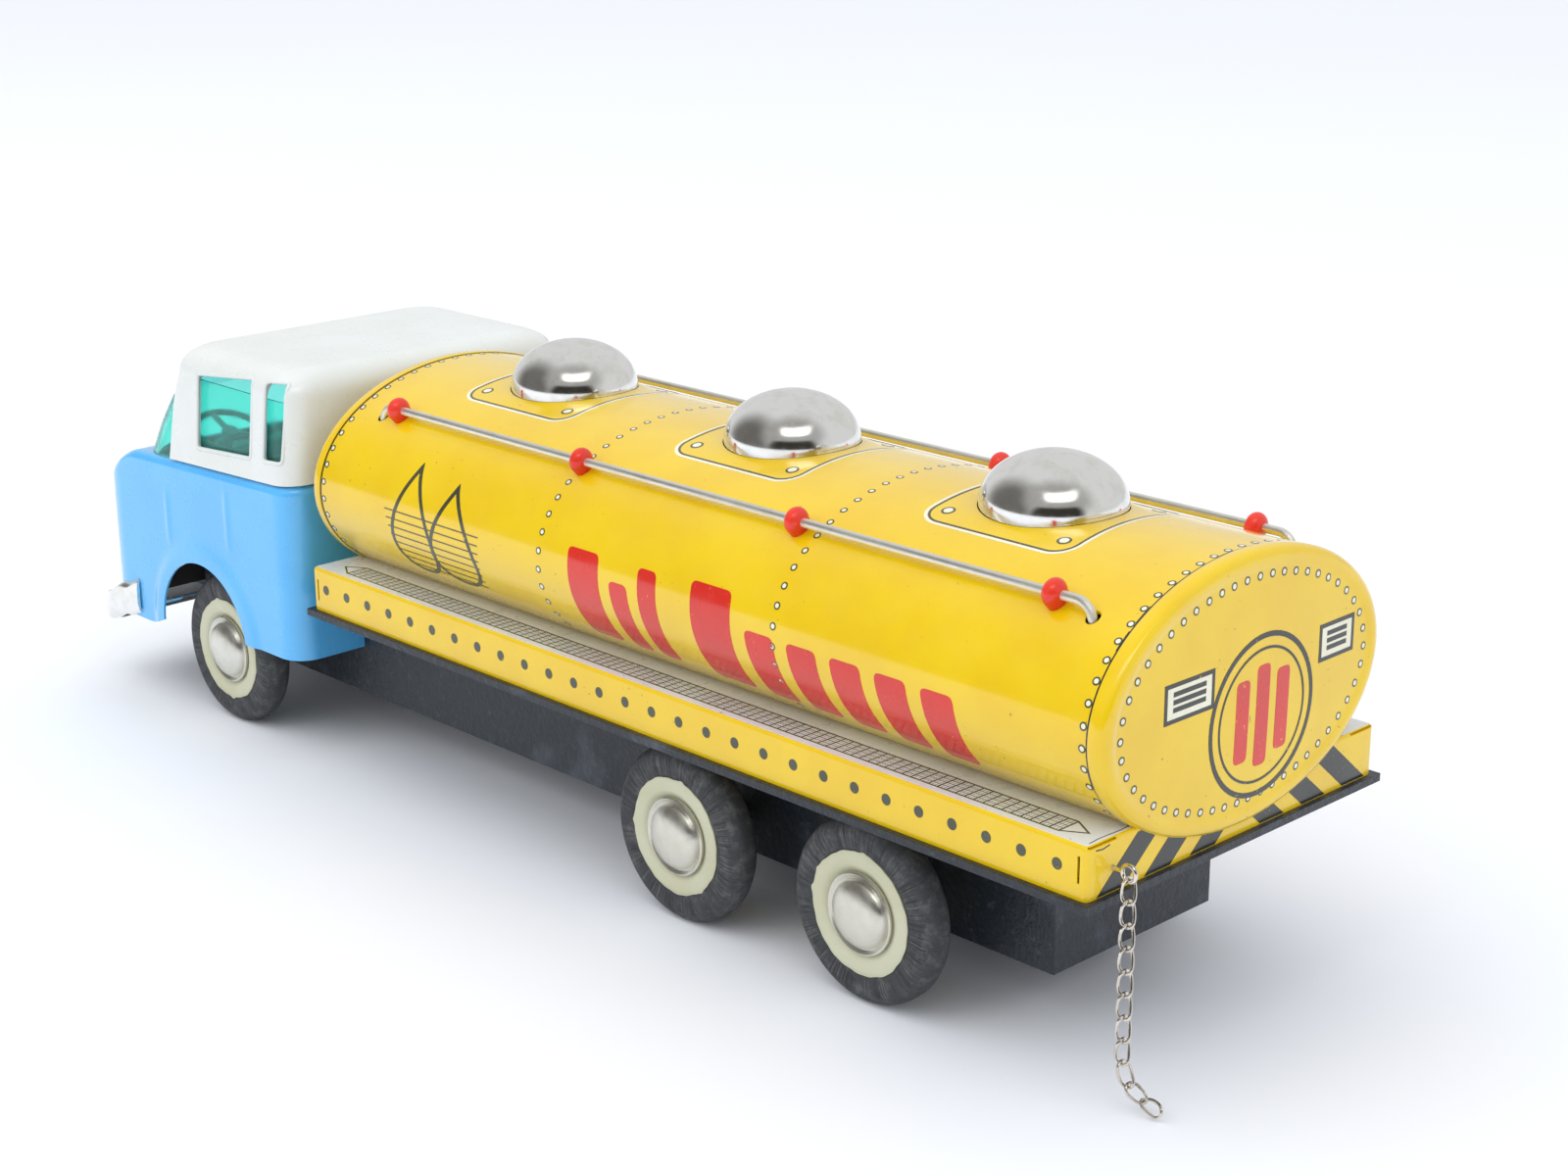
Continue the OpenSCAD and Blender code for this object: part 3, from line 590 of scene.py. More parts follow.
def rail_path(y):
    """Wire line: up out of the tank, a bend, along the tank and down again."""
    x0, x1 = rail_low.x + RAIL_R, rail_high.x - RAIL_R
    turn = quarter(8)
    path = [(x0, y, rail_low.z)]
    path += [(x0 + BEND * (1 - math.cos(a)), y, RAIL_Z - BEND * (1 - math.sin(a))) for a in turn]
    path += [(x0 + BEND + (x1 - x0 - 2 * BEND) * i / 40, y, RAIL_Z) for i in range(1, 40)]
    path += [(x1 - BEND * (1 - math.cos(a)), y, RAIL_Z - BEND * (1 - math.sin(a))) for a in reversed(turn)]
    path += [(x1, y, rail_low.z)]
    return path


LEAN = math.atan2(RAIL_Y / TANK_A**2, math.sqrt(1 - (RAIL_Y / TANK_A) ** 2) / TANK_B)
POST_R = 2.75
POST_TOP = 3.0
BEAD = [(0, -3.1), (2.25, -3.1), (2.3, -2.7), (2.42, -2.0), (2.6, -1.2), (2.72, -0.4)]
BEAD += [(POST_R * math.cos(a), POST_TOP * math.sin(a)) for a in quarter(9)[:-1]]
BEAD += [(0, POST_TOP)]
POSTS = [post_low.x + POST_R + (post_high.x - post_low.x - 2 * POST_R) * i / 3 for i in range(4)]

for side, s in SIDES:
    make(f"rail_{side}_wire", *tube(rail_path(s * RAIL_Y), RAIL_R, 20), WIRE, replaces=[f"rail_{side}"],
         slot="rail_wire", sharp=60)
    verts, faces = [], []
    for post_x in POSTS:
        def at(r, h, a, x=post_x):
            out = 1.12 * r * math.sin(a)
            y = RAIL_Y + h * math.sin(LEAN) + out * math.cos(LEAN)
            return (x + 0.8 * r * math.cos(a), s * y, RAIL_Z + h * math.cos(LEAN) - out * math.sin(LEAN))
        v, f, uv = lathe(BEAD, at, 40)
        faces += [tuple(i + len(verts) for i in face) for face in f]
        verts += v
    make(f"rail_{side}_posts", verts, faces, RED, replaces=[f"rail_posts_{side}"],
         slot="red_plastic", sharp=60)


# ---------- bed ----------


def plan_ring(x0, x1, hw, rear_r, front_r, z, counts=(60, 40, 8)):
    """Round-cornered outline seen from above, from the left rear corner. z may be a function of x."""
    along, across, corner = counts
    points = []

    def arc(cx, cy, r, start):
        for i in range(corner + 1):
            a = math.radians(start - 90 * i / corner)
            points.append((cx + r * math.cos(a), cy + r * math.sin(a)))

    def line(ax, ay, bx, by, n):
        for i in range(1, n):
            points.append((ax + (bx - ax) * i / n, ay + (by - ay) * i / n))

    arc(x0 + rear_r, hw - rear_r, rear_r, 180)
    line(x0 + rear_r, hw, x1 - front_r, hw, along)
    arc(x1 - front_r, hw - front_r, front_r, 90)
    line(x1, hw - front_r, x1, front_r - hw, across)
    arc(x1 - front_r, front_r - hw, front_r, 0)
    line(x1 - front_r, -hw, x0 + rear_r, -hw, along)
    arc(x0 + rear_r, rear_r - hw, rear_r, -90)
    line(x0, rear_r - hw, x0, hw - rear_r, across)
    height = z if callable(z) else (lambda x: z)
    return [(x, y, height(x)) for x, y in points]


def build_bed():
    """Folded deck and aprons, with the slits of its corners."""
    x0, x1, hw = bed_low.x, bed_high.x, bed_high.y
    z0, z1 = bed_low.z, bed_high.z
    fold = 0.9
    counts = (90, 40, 5)

    def ring(inset, z):
        r = max(1.4 - inset, 0.2)
        return plan_ring(x0 + inset, x1 - inset, hw - inset, r, r, z, counts)

    rings = [ring(6, z1 - 0.5), ring(1.6, z1 - 0.5), ring(0.5, z1 - 1.4), ring(0.5, z0), ring(0, z0)]
    rings += [ring(fold * (1 - math.cos(a)), z1 - fold * (1 - math.sin(a))) for a in quarter(6)]
    rings += [ring(1.3, z1), ring(6, z1)]
    verts, faces = loft(rings)
    deck = (len(rings) - 4) * len(rings[0])
    index = [1 if min(face) >= deck else 0 for face in faces]
    obj = make("bed_sheet", verts, faces, [YELLOW, DECK], replaces=["bed"], slot="yellow_litho", index=index,
               sharp=40)
    slits = []
    for s in (1, -1):
        low, high = sorted((s * (hw + 1), s * (hw - 1.2)))
        y = s * (hw - 4.6)
        slits.append(cutter(rect(x0 + 1.8, z0 + 3.4, x0 + 2.4, z1 - 2.2), 1, low, high))
        slits.append(cutter(rect(x1 - 2.6, z0 + 2.6, x1 - 2.0, z1 - 3), 1, low, high))
        slits.append(cutter(rect(y - 4, z1 - 0.65, y + 4, z1 - 0.2), 0, x0 - 1, x0 + 1.2))
    cut(obj, slits, 40)


build_bed()


# ---------- cab ----------

CAB_R = 7.0
NOSE_R = 13.0
SCREEN_X = glass_high.x
NOSE_X = 162.0
NOSE_TOP = 55.0
ARCH = (130.4, 23.5)
ARCH_R = 20.7
LOW_REAR = 26.3
LOW_FRONT = body_low.z
BELT_REAR = body_high.z
BELT_FRONT = 69.8
CAB_HW = 47.0
ACROSS = (1, -60, 60)  # axis and ends of a cutter that goes right through the cab, side to side


def belt_z(x):
    return BELT_REAR + (BELT_FRONT - BELT_REAR) * (x - body_low.x) / (SCREEN_X - body_low.x)


def top_z(x):
    """Height of the blue body's top, which falls away at the nose."""
    if x <= NOSE_X:
        return belt_z(x)
    share = min((x - NOSE_X) / (body_high.x - NOSE_X), 1)
    return belt_z(NOSE_X) - (belt_z(NOSE_X) - NOSE_TOP) * share**1.6


def low_z(x):
    """Height of the blue body's lower edge."""
    return LOW_REAR - (LOW_REAR - LOW_FRONT) * smooth(x, ARCH[0] + 12, 160)


def build_body():
    """Blue lower cab: an open tub with wheel arches, its inside faces painted dark as shade."""
    x0, x1, hw = body_low.x, body_high.x, CAB_HW
    counts = (96, 44, 10)
    fillet = 2.4
    sheet = 0.6

    def ring(inset, share, drop=0.0):
        """Outline at a share of the height between the lower edge and the top."""
        rear_r, front_r = max(CAB_R - inset, 1), max(NOSE_R - inset, 1.5)
        base = plan_ring(x0 + inset, x1 - inset, hw - inset, rear_r, front_r, 0, counts)
        return [(x, y, low_z(x) + (top_z(x) - drop - low_z(x)) * share) for x, y, z in base]

    def swell(points):
        """Raises the lip round the wheel arch and presses the door lines, on both sides."""
        out = []
        for x, y, z in points:
            reach = math.hypot(x - ARCH[0], z - ARCH[1])
            if z < ARCH[1]:
                reach = abs(x - ARCH[0])
            press = 0.8 * (1 - smooth(reach, 23.4, 27.5))
            for door, low, high in ((146, 47, 61.5), (116, 51, 67.5)):
                ends = smooth(z, low - 1, low + 2) * (1 - smooth(z, high - 2, high + 1))
                press -= 0.4 * ends * math.exp(-(((x - door) / 0.9) ** 2))
            if abs(y) > hw - 1.5:
                y += math.copysign(press, y)
            out.append((x, y, z))
        return out

    def over(inset):
        return fillet - math.sqrt(max(fillet**2 - (fillet - inset) ** 2, 0)) if inset < fillet else 0.0

    rows = 30
    tops = [0.1, 0.35, 0.75, 1.3, 1.9, 2.4, 3.2, 4.5, 6.0, 8.0, 10.5, 13.0, 16.0, 19.0, 22.5]
    rings = [ring(sheet + d, 1.0, sheet + over(d)) for d in reversed(tops)]
    rings += [swell(ring(sheet, k / rows, fillet + sheet)) for k in range(rows, -1, -1)]
    rings += [swell(ring(0, k / rows, fillet)) for k in range(rows + 1)]
    rings += [ring(d, 1.0, over(d)) for d in tops]
    verts, faces = loft(rings)
    outer = (len(tops) + rows + 1) * len(rings[0])
    # Faces inside the tub take the second material, the dark painted shade.
    index = [1 if max(face) < outer else 0 for face in faces]
    obj = make("cab_lower", verts, faces, [BLUE, PAINTED_SHADE_INSIDE], replaces=["cab_body"], slot="blue_paint", sharp=38,
               index=index)
    opening = [(x, y) for x, y, z in plan_ring(x0 + 3, SCREEN_X - 3, hw - 3, 4, 10, 0, (8, 8, 10))]
    arch = [(ARCH[0] + ARCH_R, 5)] + circle(*ARCH, ARCH_R, 80)[:41] + [(ARCH[0] - ARCH_R, 5)]
    cutters = [cutter(opening, 2, 60, 90), cutter(arch, *ACROSS),
               cutter(rect(-25.9, 5, 25.9, 44), 0, x0 - 2, x0 + 5)]
    cut(obj, cutters, 38)


build_body()

# The roof's height, half width, back and front, low down and high up.
LEVELS = [(66.0, 47.05, 86.55, 155.8), (94.0, 44.4, 87.0, 143.6)]
BROW = 95.0  # height at which the roof's rounding over its top starts
CROWN_R = 9.5


def roof_plan(z, inset=0.0):
    """Half width, back and front of the white roof at a height."""
    (z0, hw0, a0, b0), (z1, hw1, a1, b1) = LEVELS
    k = (z - z0) / (z1 - z0)
    return hw0 + (hw1 - hw0) * k - inset, a0 + (a1 - a0) * k + inset, b0 + (b1 - b0) * k - inset


def crown_inset(z):
    """How far the roof's rounding over its brow has drawn in at a height."""
    rise = max(z - BROW, 0) / (roof_high.z - BROW)
    return CROWN_R * (1 - math.sqrt(1 - rise ** (2 / 0.9)))


def build_roof():
    """White upper cab: a hollow moulding with its windows and windscreen cut out."""
    wall = 1.2
    counts = (64, 40, 8)
    rise = roof_high.z - BROW

    def ring(z, inset, extra=0.0):
        hw, a, b = roof_plan(min(z, BROW), inset)
        rear_r, front_r = max(CAB_R - extra * 0.3, 3), 6.0
        return plan_ring(a + extra * 0.8, b - extra * 0.5, hw - extra, rear_r, front_r, z, counts)

    def crown(inset):
        """The rounding over the top, drawn from its middle outwards."""
        rings = []
        for i in range(10, 0, -1):
            a = math.pi / 2 * i / 10
            rings.append(ring(BROW - inset + rise * math.sin(a) ** 0.9, inset, CROWN_R * (1 - math.cos(a))))
        return rings

    flat_outer = [ring(roof_high.z, 0, 22)]
    flat_inner = [ring(roof_high.z - wall, wall, 22)]
    steps = [BROW - i for i in range(28)]
    rings = flat_inner + crown(wall) + [ring(z, wall) for z in steps]
    rings += [ring(z, 0) for z in reversed(steps)] + list(reversed(crown(0))) + flat_outer
    obj = make("cab_upper", *loft(rings), WHITE, replaces=["cab_roof"], slot="white_plastic", sharp=38)
    back, front, seam = roof_low.x - 3, 175, 0.35
    lower = [(back, 40), (front, 40), (front, belt_z(front) + seam), (back, belt_z(back) + seam)]
    screen = [(144.7, 60), (front, 60), (front, 92.5), (142.3, 92.5), (141.1, 91.6)]
    cut(obj, [cutter(outline, *ACROSS) for outline in [lower, screen] + WINDOWS], 38)


def round_corners(points, r, n=5):
    """Outline with its corners rounded."""
    out = []
    count = len(points)
    for i, p in enumerate(points):
        p = Vector(p)
        a = p + (Vector(points[i - 1]) - p).normalized() * r
        b = p + (Vector(points[(i + 1) % count]) - p).normalized() * r
        for k in range(n + 1):
            s = k / n
            out.append(tuple((1 - s) ** 2 * a + 2 * s * (1 - s) * p + s * s * b))
    return out


WINDOWS = [round_corners(w, 1.4) for w in (
    [(104, 78.1), (130, 76.3), (130, 96.2), (104, 98.8)],
    [(90.6, 78.9), (98.6, 78.4), (98.6, 99), (90.6, 99.4)])]
build_roof()

for side, s in SIDES:
    for number, window in enumerate(WINDOWS):
        hoop = []
        for x, z in window:
            hw, back, front = roof_plan(min(z, BROW))
            over = crown_inset(z)
            turn = max(back + 0.8 * over + CAB_R - x, 0)
            hoop.append((x, s * (hw - over - CAB_R + math.sqrt(CAB_R**2 - turn**2) - 0.2), z))
        make(f"window_frame_{side}_{number + 1}", *tube(hoop, 0.55, 10, True), WHITE, slot="white_plastic",
             sharp=60)


def build_glass():
    """Tub of glazing whose windscreen bulges forward."""
    counts = (30, 40, 12)
    wall = 0.8
    # Height, how far in from the CAD's rear end, front, how far in from its sides, and front corner radius.
    levels = [(68.4, 0.0, SCREEN_X, 0.0, 14), (87.6, 0.3, 151.0, 1.9, 8), (94.2, 0.4, 140.4, 2.7, 9)]

    def ring(z, inset):
        below, above = (levels[0], levels[1]) if z < levels[1][0] else (levels[1], levels[2])
        k = (z - below[0]) / (above[0] - below[0])
        rear, front, side, corner = (p + (q - p) * k for p, q in zip(below[1:], above[1:]))
        swell = 1.2 * math.sin(math.pi * k) if z < levels[1][0] else 0.0
        hw = glass_high.y - side - inset
        points = plan_ring(glass_low.x + rear + inset, front - inset, hw, 6, corner, z - inset * 0.2, counts)
        out = []
        for x, y, height in points:
            ahead = smooth(x, front - 14, front)
            out.append((x + ahead * (swell - 1.5 * (y / hw) ** 2), y, height))
        return out

    heights = spread(levels[0][0], levels[1][0], 2.0) + spread(levels[1][0] + 1.0, levels[2][0], 1.0)
    rings = [ring(z, 0) for z in heights] + [ring(z, wall) for z in reversed(heights)]
    make("cab_windows", *loft(rings, True), GLASS, replaces=["cab_glazing"], slot="teal_glazing", sharp=50)


build_glass()


def build_bumper():
    """C-shaped bar that follows the cab's corners and rises to the rear."""
    x1, hw, corner, end = bumper_high.x, bumper_high.y, 11.0, bumper_low.x
    outline = [(end + (x1 - corner - end) * i / 12, hw) for i in range(12)]
    outline += [(x1 - corner + corner * math.sin(a), hw - corner + corner * math.cos(a)) for a in quarter(14)]
    outline += [(x1, (hw - corner) * (1 - i / 14)) for i in range(1, 14)]
    outline += [(x, -y) for x, y in reversed(outline)]

    def span(x, table):
        for (xa, za), (xb, zb) in zip(table, table[1:]):
            if x <= xb:
                return za + (zb - za) * smooth(x, xa, xb) if x > xa else za
        return table[-1][1]

    lows = [(162, 22.9), (171, 20.5), (184, 16.5), (190, 14.6)]
    highs = [(162, 33.4), (171, 30.3), (184, 24.8), (190, 23.4)]
    section = [(0.35, 0.1), (0.0, 0.3), (0.0, 0.7), (0.35, 0.9), (0.8, 0.97), (1.4, 1.0), (3.0, 1.0),
               (3.0, 0.94), (1.6, 0.93), (1.0, 0.86), (0.9, 0.14), (1.6, 0.07), (3.0, 0.06), (3.0, 0.0),
               (1.4, 0.0), (0.8, 0.03)]
    rings = []
    for i, (x, y) in enumerate(outline):
        xa, ya = outline[max(i - 1, 0)]
        xb, yb = outline[min(i + 1, len(outline) - 1)]
        along = Vector((xb - xa, yb - ya)).normalized()
        inward = Vector((along.y, -along.x))
        z0, z1 = span(x, lows), span(x, highs)
        rings.append([(x + inward.x * d, y + inward.y * d, z0 + (z1 - z0) * k) for d, k in section])
    make("bumper_bar", *loft(rings), CHROME, replaces=["bumper"], slot="chrome", sharp=45)
    for s in (1, -1):
        loop = [[(x, s * 14 + y, z) for y, z in rect(-3, 19.5, 3, 20.5)] for x in (165.0, 172.0, 180.0, 188.4)]
        make(f"bumper_arm_{1 if s > 0 else 2}", *loft(loop), STEEL, slot="steel", sharp=30)


build_bumper()


# ---------- wheels ----------

TYRE_R = WHEELS["front"].z
FACE_Y = box("tyre_front_left")[1].y
TYRE_W = FACE_Y - box("tyre_front_left")[0].y
DISC_R = 13.7
CAP_R = 9.1


def ragged(angle, seed):
    """Small uneven radius of the moulded disc's edge."""
    v = 0.08 * math.sin(5 * angle + seed) + 0.07 * math.sin(11 * angle + 2.3 * seed)
    v += 0.06 * math.sin(23 * angle + 4.1 * seed)
    for notch in (0.9 + seed, 2.7 + 1.7 * seed, 4.4 + 0.6 * seed):
        gap = (angle - notch + math.pi) % (2 * math.pi) - math.pi
        v += 0.45 * math.exp(-((gap / 0.05) ** 2))
    return v


def build_wheel(key, side, s, seed):
    """Tyre, pale disc and domed hubcap, turned about the axle."""
    centre = WHEELS[key]
    body = f"{key}_wheels"

    def at(r, h, a):
        return (centre.x + r * math.cos(a), s * (FACE_Y + h), centre.z + r * math.sin(a))

    shoulder = 3.4
    outer = [(TYRE_R - shoulder + shoulder * math.sin(a), -shoulder + shoulder * math.cos(a))
             for a in quarter(8)]
    inner = [(r, -TYRE_W - h) for r, h in reversed(outer)]
    profile = [(9.7, -TYRE_W + 0.7), (9.7, -1.5), (DISC_R - 0.6, -1.45), (DISC_R - 0.3, -0.55),
               (DISC_R + 0.3, -0.25), (DISC_R + 1.2, -0.1)] + outer + inner
    v, f, uv = lathe(profile, at, 128, True)
    make(f"tyre_{key}_{side}_rubber", v, f, RUBBER, body, [f"tyre_{key}_{side}"], "tyre_rubber", 60, None, uv)

    def disc_at(r, h, a):
        if r > DISC_R - 1.5:
            r += ragged(a * s, seed)
        return at(r, h, a)

    disc = [(1.55, -16.7), (4.4, -16.7), (4.5, -TYRE_W + 1.6), (9.5, -TYRE_W + 0.7), (9.6, -1.3),
            (DISC_R - 1.4, -1.3), (DISC_R - 0.05, -0.5), (DISC_R, -0.1), (DISC_R - 0.5, 0.12),
            (DISC_R - 1.3, 0.14), (DISC_R - 2.4, 0.02), (CAP_R + 1.7, 0.0), (CAP_R + 0.9, -0.35),
            (CAP_R + 0.4, -0.85), (1.55, -0.9)]
    v, f, uv = lathe(disc, disc_at, 128, True)
    make(f"wheel_{key}_{side}_disc", v, f, CREAM, body, [f"wheel_{key}_{side}"], "cream_plastic", 50, None, uv)
    cap = [(0, -0.85), (CAP_R - 0.5, -0.85), (CAP_R, -0.6), (CAP_R, 0.0), (CAP_R - 0.3, 0.22),
           (CAP_R - 0.7, 0.1), (CAP_R - 1.0, -0.3), (CAP_R - 1.35, -0.35)]
    cap += [((CAP_R - 1.55) * math.cos(a) ** 0.8, -0.2 + 2.7 * math.sin(a) ** 1.1)
            for a in quarter(16)[1:-1]]
    cap += [(0, 2.5)]
    v, f, uv = lathe(cap, at, 96)
    make(f"hubcap_{key}_{side}_metal", v, f, DULL, body, [f"hubcap_{key}_{side}"], "chrome", 50, None, uv)


seed = 0.4
for key in PLACES:
    for side, s in SIDES:
        build_wheel(key, side, s, seed)
        seed += 1.37

# ---------- CAD nodes that stay ----------

keep_cad("chassis", CRINKLE, 0.2)
keep_cad("seat", BROWN, 0.9)
keep_cad("dashboard", TEAL, 0.6)
keep_cad("steering_wheel", GREY)
keep_cad("grille", CHROME, 0.2)
keep_cad("headlamps", PRINT_WHITE)
keep_cad("motor_frame", STEEL, 0.15)
for node in ("axle_front", "axle_middle", "axle_rear", "layshaft", "flywheel_shaft", "flywheel"):
    keep_cad(node, STEEL)
for node in ("drive_gear", "layshaft_gear"):
    keep_cad(node, BRASS)
for node in ["chain_hook"] + [f"chain_link_{i:02d}" for i in range(1, 12)]:
    keep_cad(node, NICKEL, wire=True)


# ---------- printed decoration ----------


class Flat:
    """A flat drawing in two coordinates, wrapped on to a surface as a thin layer."""

    def __init__(self):
        self.verts = []
        self.faces = []

    def add(self, points, faces):
        start = len(self.verts)
        self.verts += [tuple(p) for p in points]
        self.faces += [tuple(i + start for i in f) for f in faces]

    def dot(self, u, v, r, n=14):
        self.add(circle(u, v, r, n), [tuple(range(n))])

    def ring(self, u, v, r, width, n=20):
        outside, inside = circle(u, v, r, n), circle(u, v, r - width, n)
        self.add(outside + inside, [(i, (i + 1) % n, n + (i + 1) % n, n + i) for i in range(n)])

    def line(self, points, width, close=False):
        """Strip of even width along a line of points."""
        count = len(points)
        left, right = [], []
        for i, p in enumerate(points):
            p = Vector(p)
            before = Vector(points[i - 1]) if i or close else p
            after = Vector(points[(i + 1) % count]) if i < count - 1 or close else p
            ahead, behind = (after - p), (p - before)
            if ahead.length < 1e-9:
                ahead = behind
            if behind.length < 1e-9:
                behind = ahead
            along = (ahead.normalized() + behind.normalized()).normalized()
            across = Vector((-along.y, along.x))
            wide = width / 2 / max(abs(across.dot(Vector((-ahead.y, ahead.x)).normalized())), 0.5)
            left.append(tuple(p + across * wide))
            right.append(tuple(p - across * wide))
        spans = count if close else count - 1
        steps = [(i, (i + 1) % count) for i in range(spans)]
        self.add(left + right, [(i, j, count + j, count + i) for i, j in steps])

    def fill(self, points, step=1.6):
        """Filled outline, divided along its second coordinate so that it can bend."""
        bm = bmesh.new()
        bm.faces.new([bm.verts.new((u, v, 0)) for u, v in points])
        low, high = min(v for u, v in points), max(v for u, v in points)
        for i in range(1, math.ceil((high - low) / step)):
            geom = bm.verts[:] + bm.edges[:] + bm.faces[:]
            bmesh.ops.bisect_plane(bm, geom=geom, plane_co=(0, low + i * step, 0), plane_no=(0, 1, 0))
        bm.verts.index_update()
        self.add([(v.co.x, v.co.y) for v in bm.verts], [[v.index for v in f.verts] for f in bm.faces])
        bm.free()

    def wrap(self, name, place, mat, height=0.06, depth=0.06):
        """Closed thin mesh of the drawing on a surface. place(u, v, h) gives each point."""
        count = len(self.verts)
        edges = {}
        for f in self.faces:
            for a, b in zip(f, f[1:] + f[:1]):
                key = (min(a, b), max(a, b))
                edges[key] = None if key in edges else (a, b)
        faces = list(self.faces) + [tuple(i + count for i in reversed(f)) for f in self.faces]
        faces += [(b, a, a + count, b + count) for e in edges.values() if e for a, b in [e]]
        verts = [place(u, v, height) for u, v in self.verts] + [place(u, v, -depth) for u, v in self.verts]
        return make(name, verts, faces, mat, sharp=40)


def rivet_rows():
    """Printed rivets: dark rings with pale middles, along the seams and the tank's ends."""
    dark, pale = Flat(), Flat()
    places = []
    reach = FOOT - 5.5
    seams = (-12.5, -89.6)
    for x in seams:
        places += [(x, t) for t in spread(-reach, reach, 4.35) if abs(t) > 0.1]
    for x in (bed_low.x + 4.0, bed_high.x - 4.0):
        places += [(x, t) for t in spread(-reach, reach, 4.35)]
    for x, t in places:
        dark.ring(x, t, 0.88, 0.34, 14)
        pale.dot(x, t, 0.56, 10)
    dark.wrap("tank_rivet_rings", on_tank, PRINT_DARK, 0.05)
    pale.wrap("tank_rivet_spots", on_tank, PRINT_WHITE, 0.05)


def dome_plates():
    """Round-cornered printed frame and four rivets about each dome."""
    dark, pale, bold = Flat(), Flat(), Flat()
    for d in DOMES:
        for inset, width, sheet in ((0.0, 0.75, pale), (0.75, 0.5, dark)):
            hu, hv = 20.0 - inset, 20.7 - inset
            r = 5.5 - inset
            outline = plan_ring(d - hu, d + hu, hv, r, r, 0, (24, 24, 8))
            sheet.line([(x, y) for x, y, z in outline], width, True)
        for su in (-1, 1):
            for sv in (-1, 1):
                bold.ring(d + su * 15.5, sv * 15.2, 1.55, 0.5, 20)
                pale.dot(d + su * 15.5, sv * 15.2, 1.1, 16)
    dark.wrap("dome_plate_inner_lines", on_tank, PRINT_DARK)
    bold.wrap("dome_plate_rivet_rings", on_tank, PRINT_DARK)
    pale.wrap("dome_plate_pale_lines", on_tank, PRINT_WHITE)


def side_bars():
    """Two groups of plain slanted red bars, where the real toy has lettering."""
    red = Flat()
    bars = [(-30, 10.5, 51.5, 74.5), (-42.4, 6.0, 56.5, 74.5), (-51.6, 6.0, 51.5, 74.5)]
    bars += [(-72, 12.5, 50.5, 75.0)] + [(-87.5 - 12.6 * i, 8.6, 57.5, 75.0) for i in range(5)]
    lean = 2.2
    for s in (1, -1):
        for x, width, top, low in bars:
            left, right = x - width / 2, x + width / 2
            shape = [(right + lean, s * top), (left + lean, s * top), (left, s * low), (right, s * low)]
            red.fill(round_corners(shape, 1.6, 4))
    red.wrap("side_bars", on_tank, PRINT_RED)


def drop_outline(u, v, r, height, n=44):
    """Drop shape standing on its round end: middle, widest radius and height."""
    points = []
    for i in range(n):
        a = 2 * math.pi * i / n
        points.append((u + 1.3 * r * math.sin(a) * math.sin(a / 2) ** 1.5, v + height / 2 * math.cos(a)))
    return points


def side_emblem():
    """Plain outlined drops over fine lines, where the real toy has a maker's sign."""
    dark = Flat()
    for s in (1, -1):
        for u, v, r, height in ((37, 58.5, 8.6, 29), (21, 59.5, 9.4, 26)):
            dark.line([(x, s * (2 * v - y)) for x, y in drop_outline(u, v, r, height)], 1.15, True)
        for i in range(8):
            t = 56.5 + 2.1 * i
            dark.line([(47 - 0.5 * i, s * t), (30, s * t), (10 + 0.3 * i, s * t)], 0.3)
    dark.wrap("side_emblem", on_tank, PRINT_DARK)


def on_rear_cap(y, z, h):
    return (bed_low.x - cap_crown(y, z) - h, y, z)


def rear_cap_print():
    """Ring of rivets, two plain plates with bars, and a plain roundel."""
    dark, pale, black, red = Flat(), Flat(), Flat(), Flat()
    n = 50
    a, b = TANK_A - 5.3, TANK_B - 5.1
    lengths, angles = oval_table(a, b, 600)
    for i in range(n):
        share = 2 * lengths[-1] * (i + 0.5) / n
        side = 1 if share < lengths[-1] else -1
        share = share if side > 0 else 2 * lengths[-1] - share
        q = angles[min(bisect.bisect(lengths, share), len(angles) - 1)]
        y, z = side * a * math.sin(q), TANK_Z + b * math.cos(q)
        dark.ring(y, z, 0.9, 0.34, 14)
        pale.dot(y, z, 0.57, 10)
    for y0, z0, y1, z1 in ((12, 74.6, 26.4, 81.8), (-35, 75.1, -23.6, 82.2)):
        pale.fill(rect(y0, z0, y1, z1), 4)
        black.line([(y0, z0), (y1, z0), (y1, z1), (y0, z1)], 0.9, True)
        for k in (0.3, 0.52, 0.74):
            z = z0 + (z1 - z0) * k
            black.line([(y0 + 2.2, z), (y1 - 2.2, z)], 1.0)
    y, z = -4.5, 68.5
    for r, width in ((16.6, 1.1), (13.9, 0.55)):
        black.line(circle(y, z, r, 64), width, True)
    for k in (-1, 0, 1):
        high = 10.6 if k == 0 else 8.6
        red.fill(round_corners(rect(y + 6.6 * k - 2.1, z - high, y + 6.6 * k + 2.1, z + high), 1.3, 4), 3)
    black.wrap("rear_black_print", on_rear_cap, PRINT_BLACK, 0.08)
    dark.wrap("rear_rivet_rings", on_rear_cap, PRINT_DARK, 0.05)
    pale.wrap("rear_pale_print", on_rear_cap, PRINT_WHITE, 0.05)
    red.wrap("rear_red_bars", on_rear_cap, PRINT_RED, 0.06)


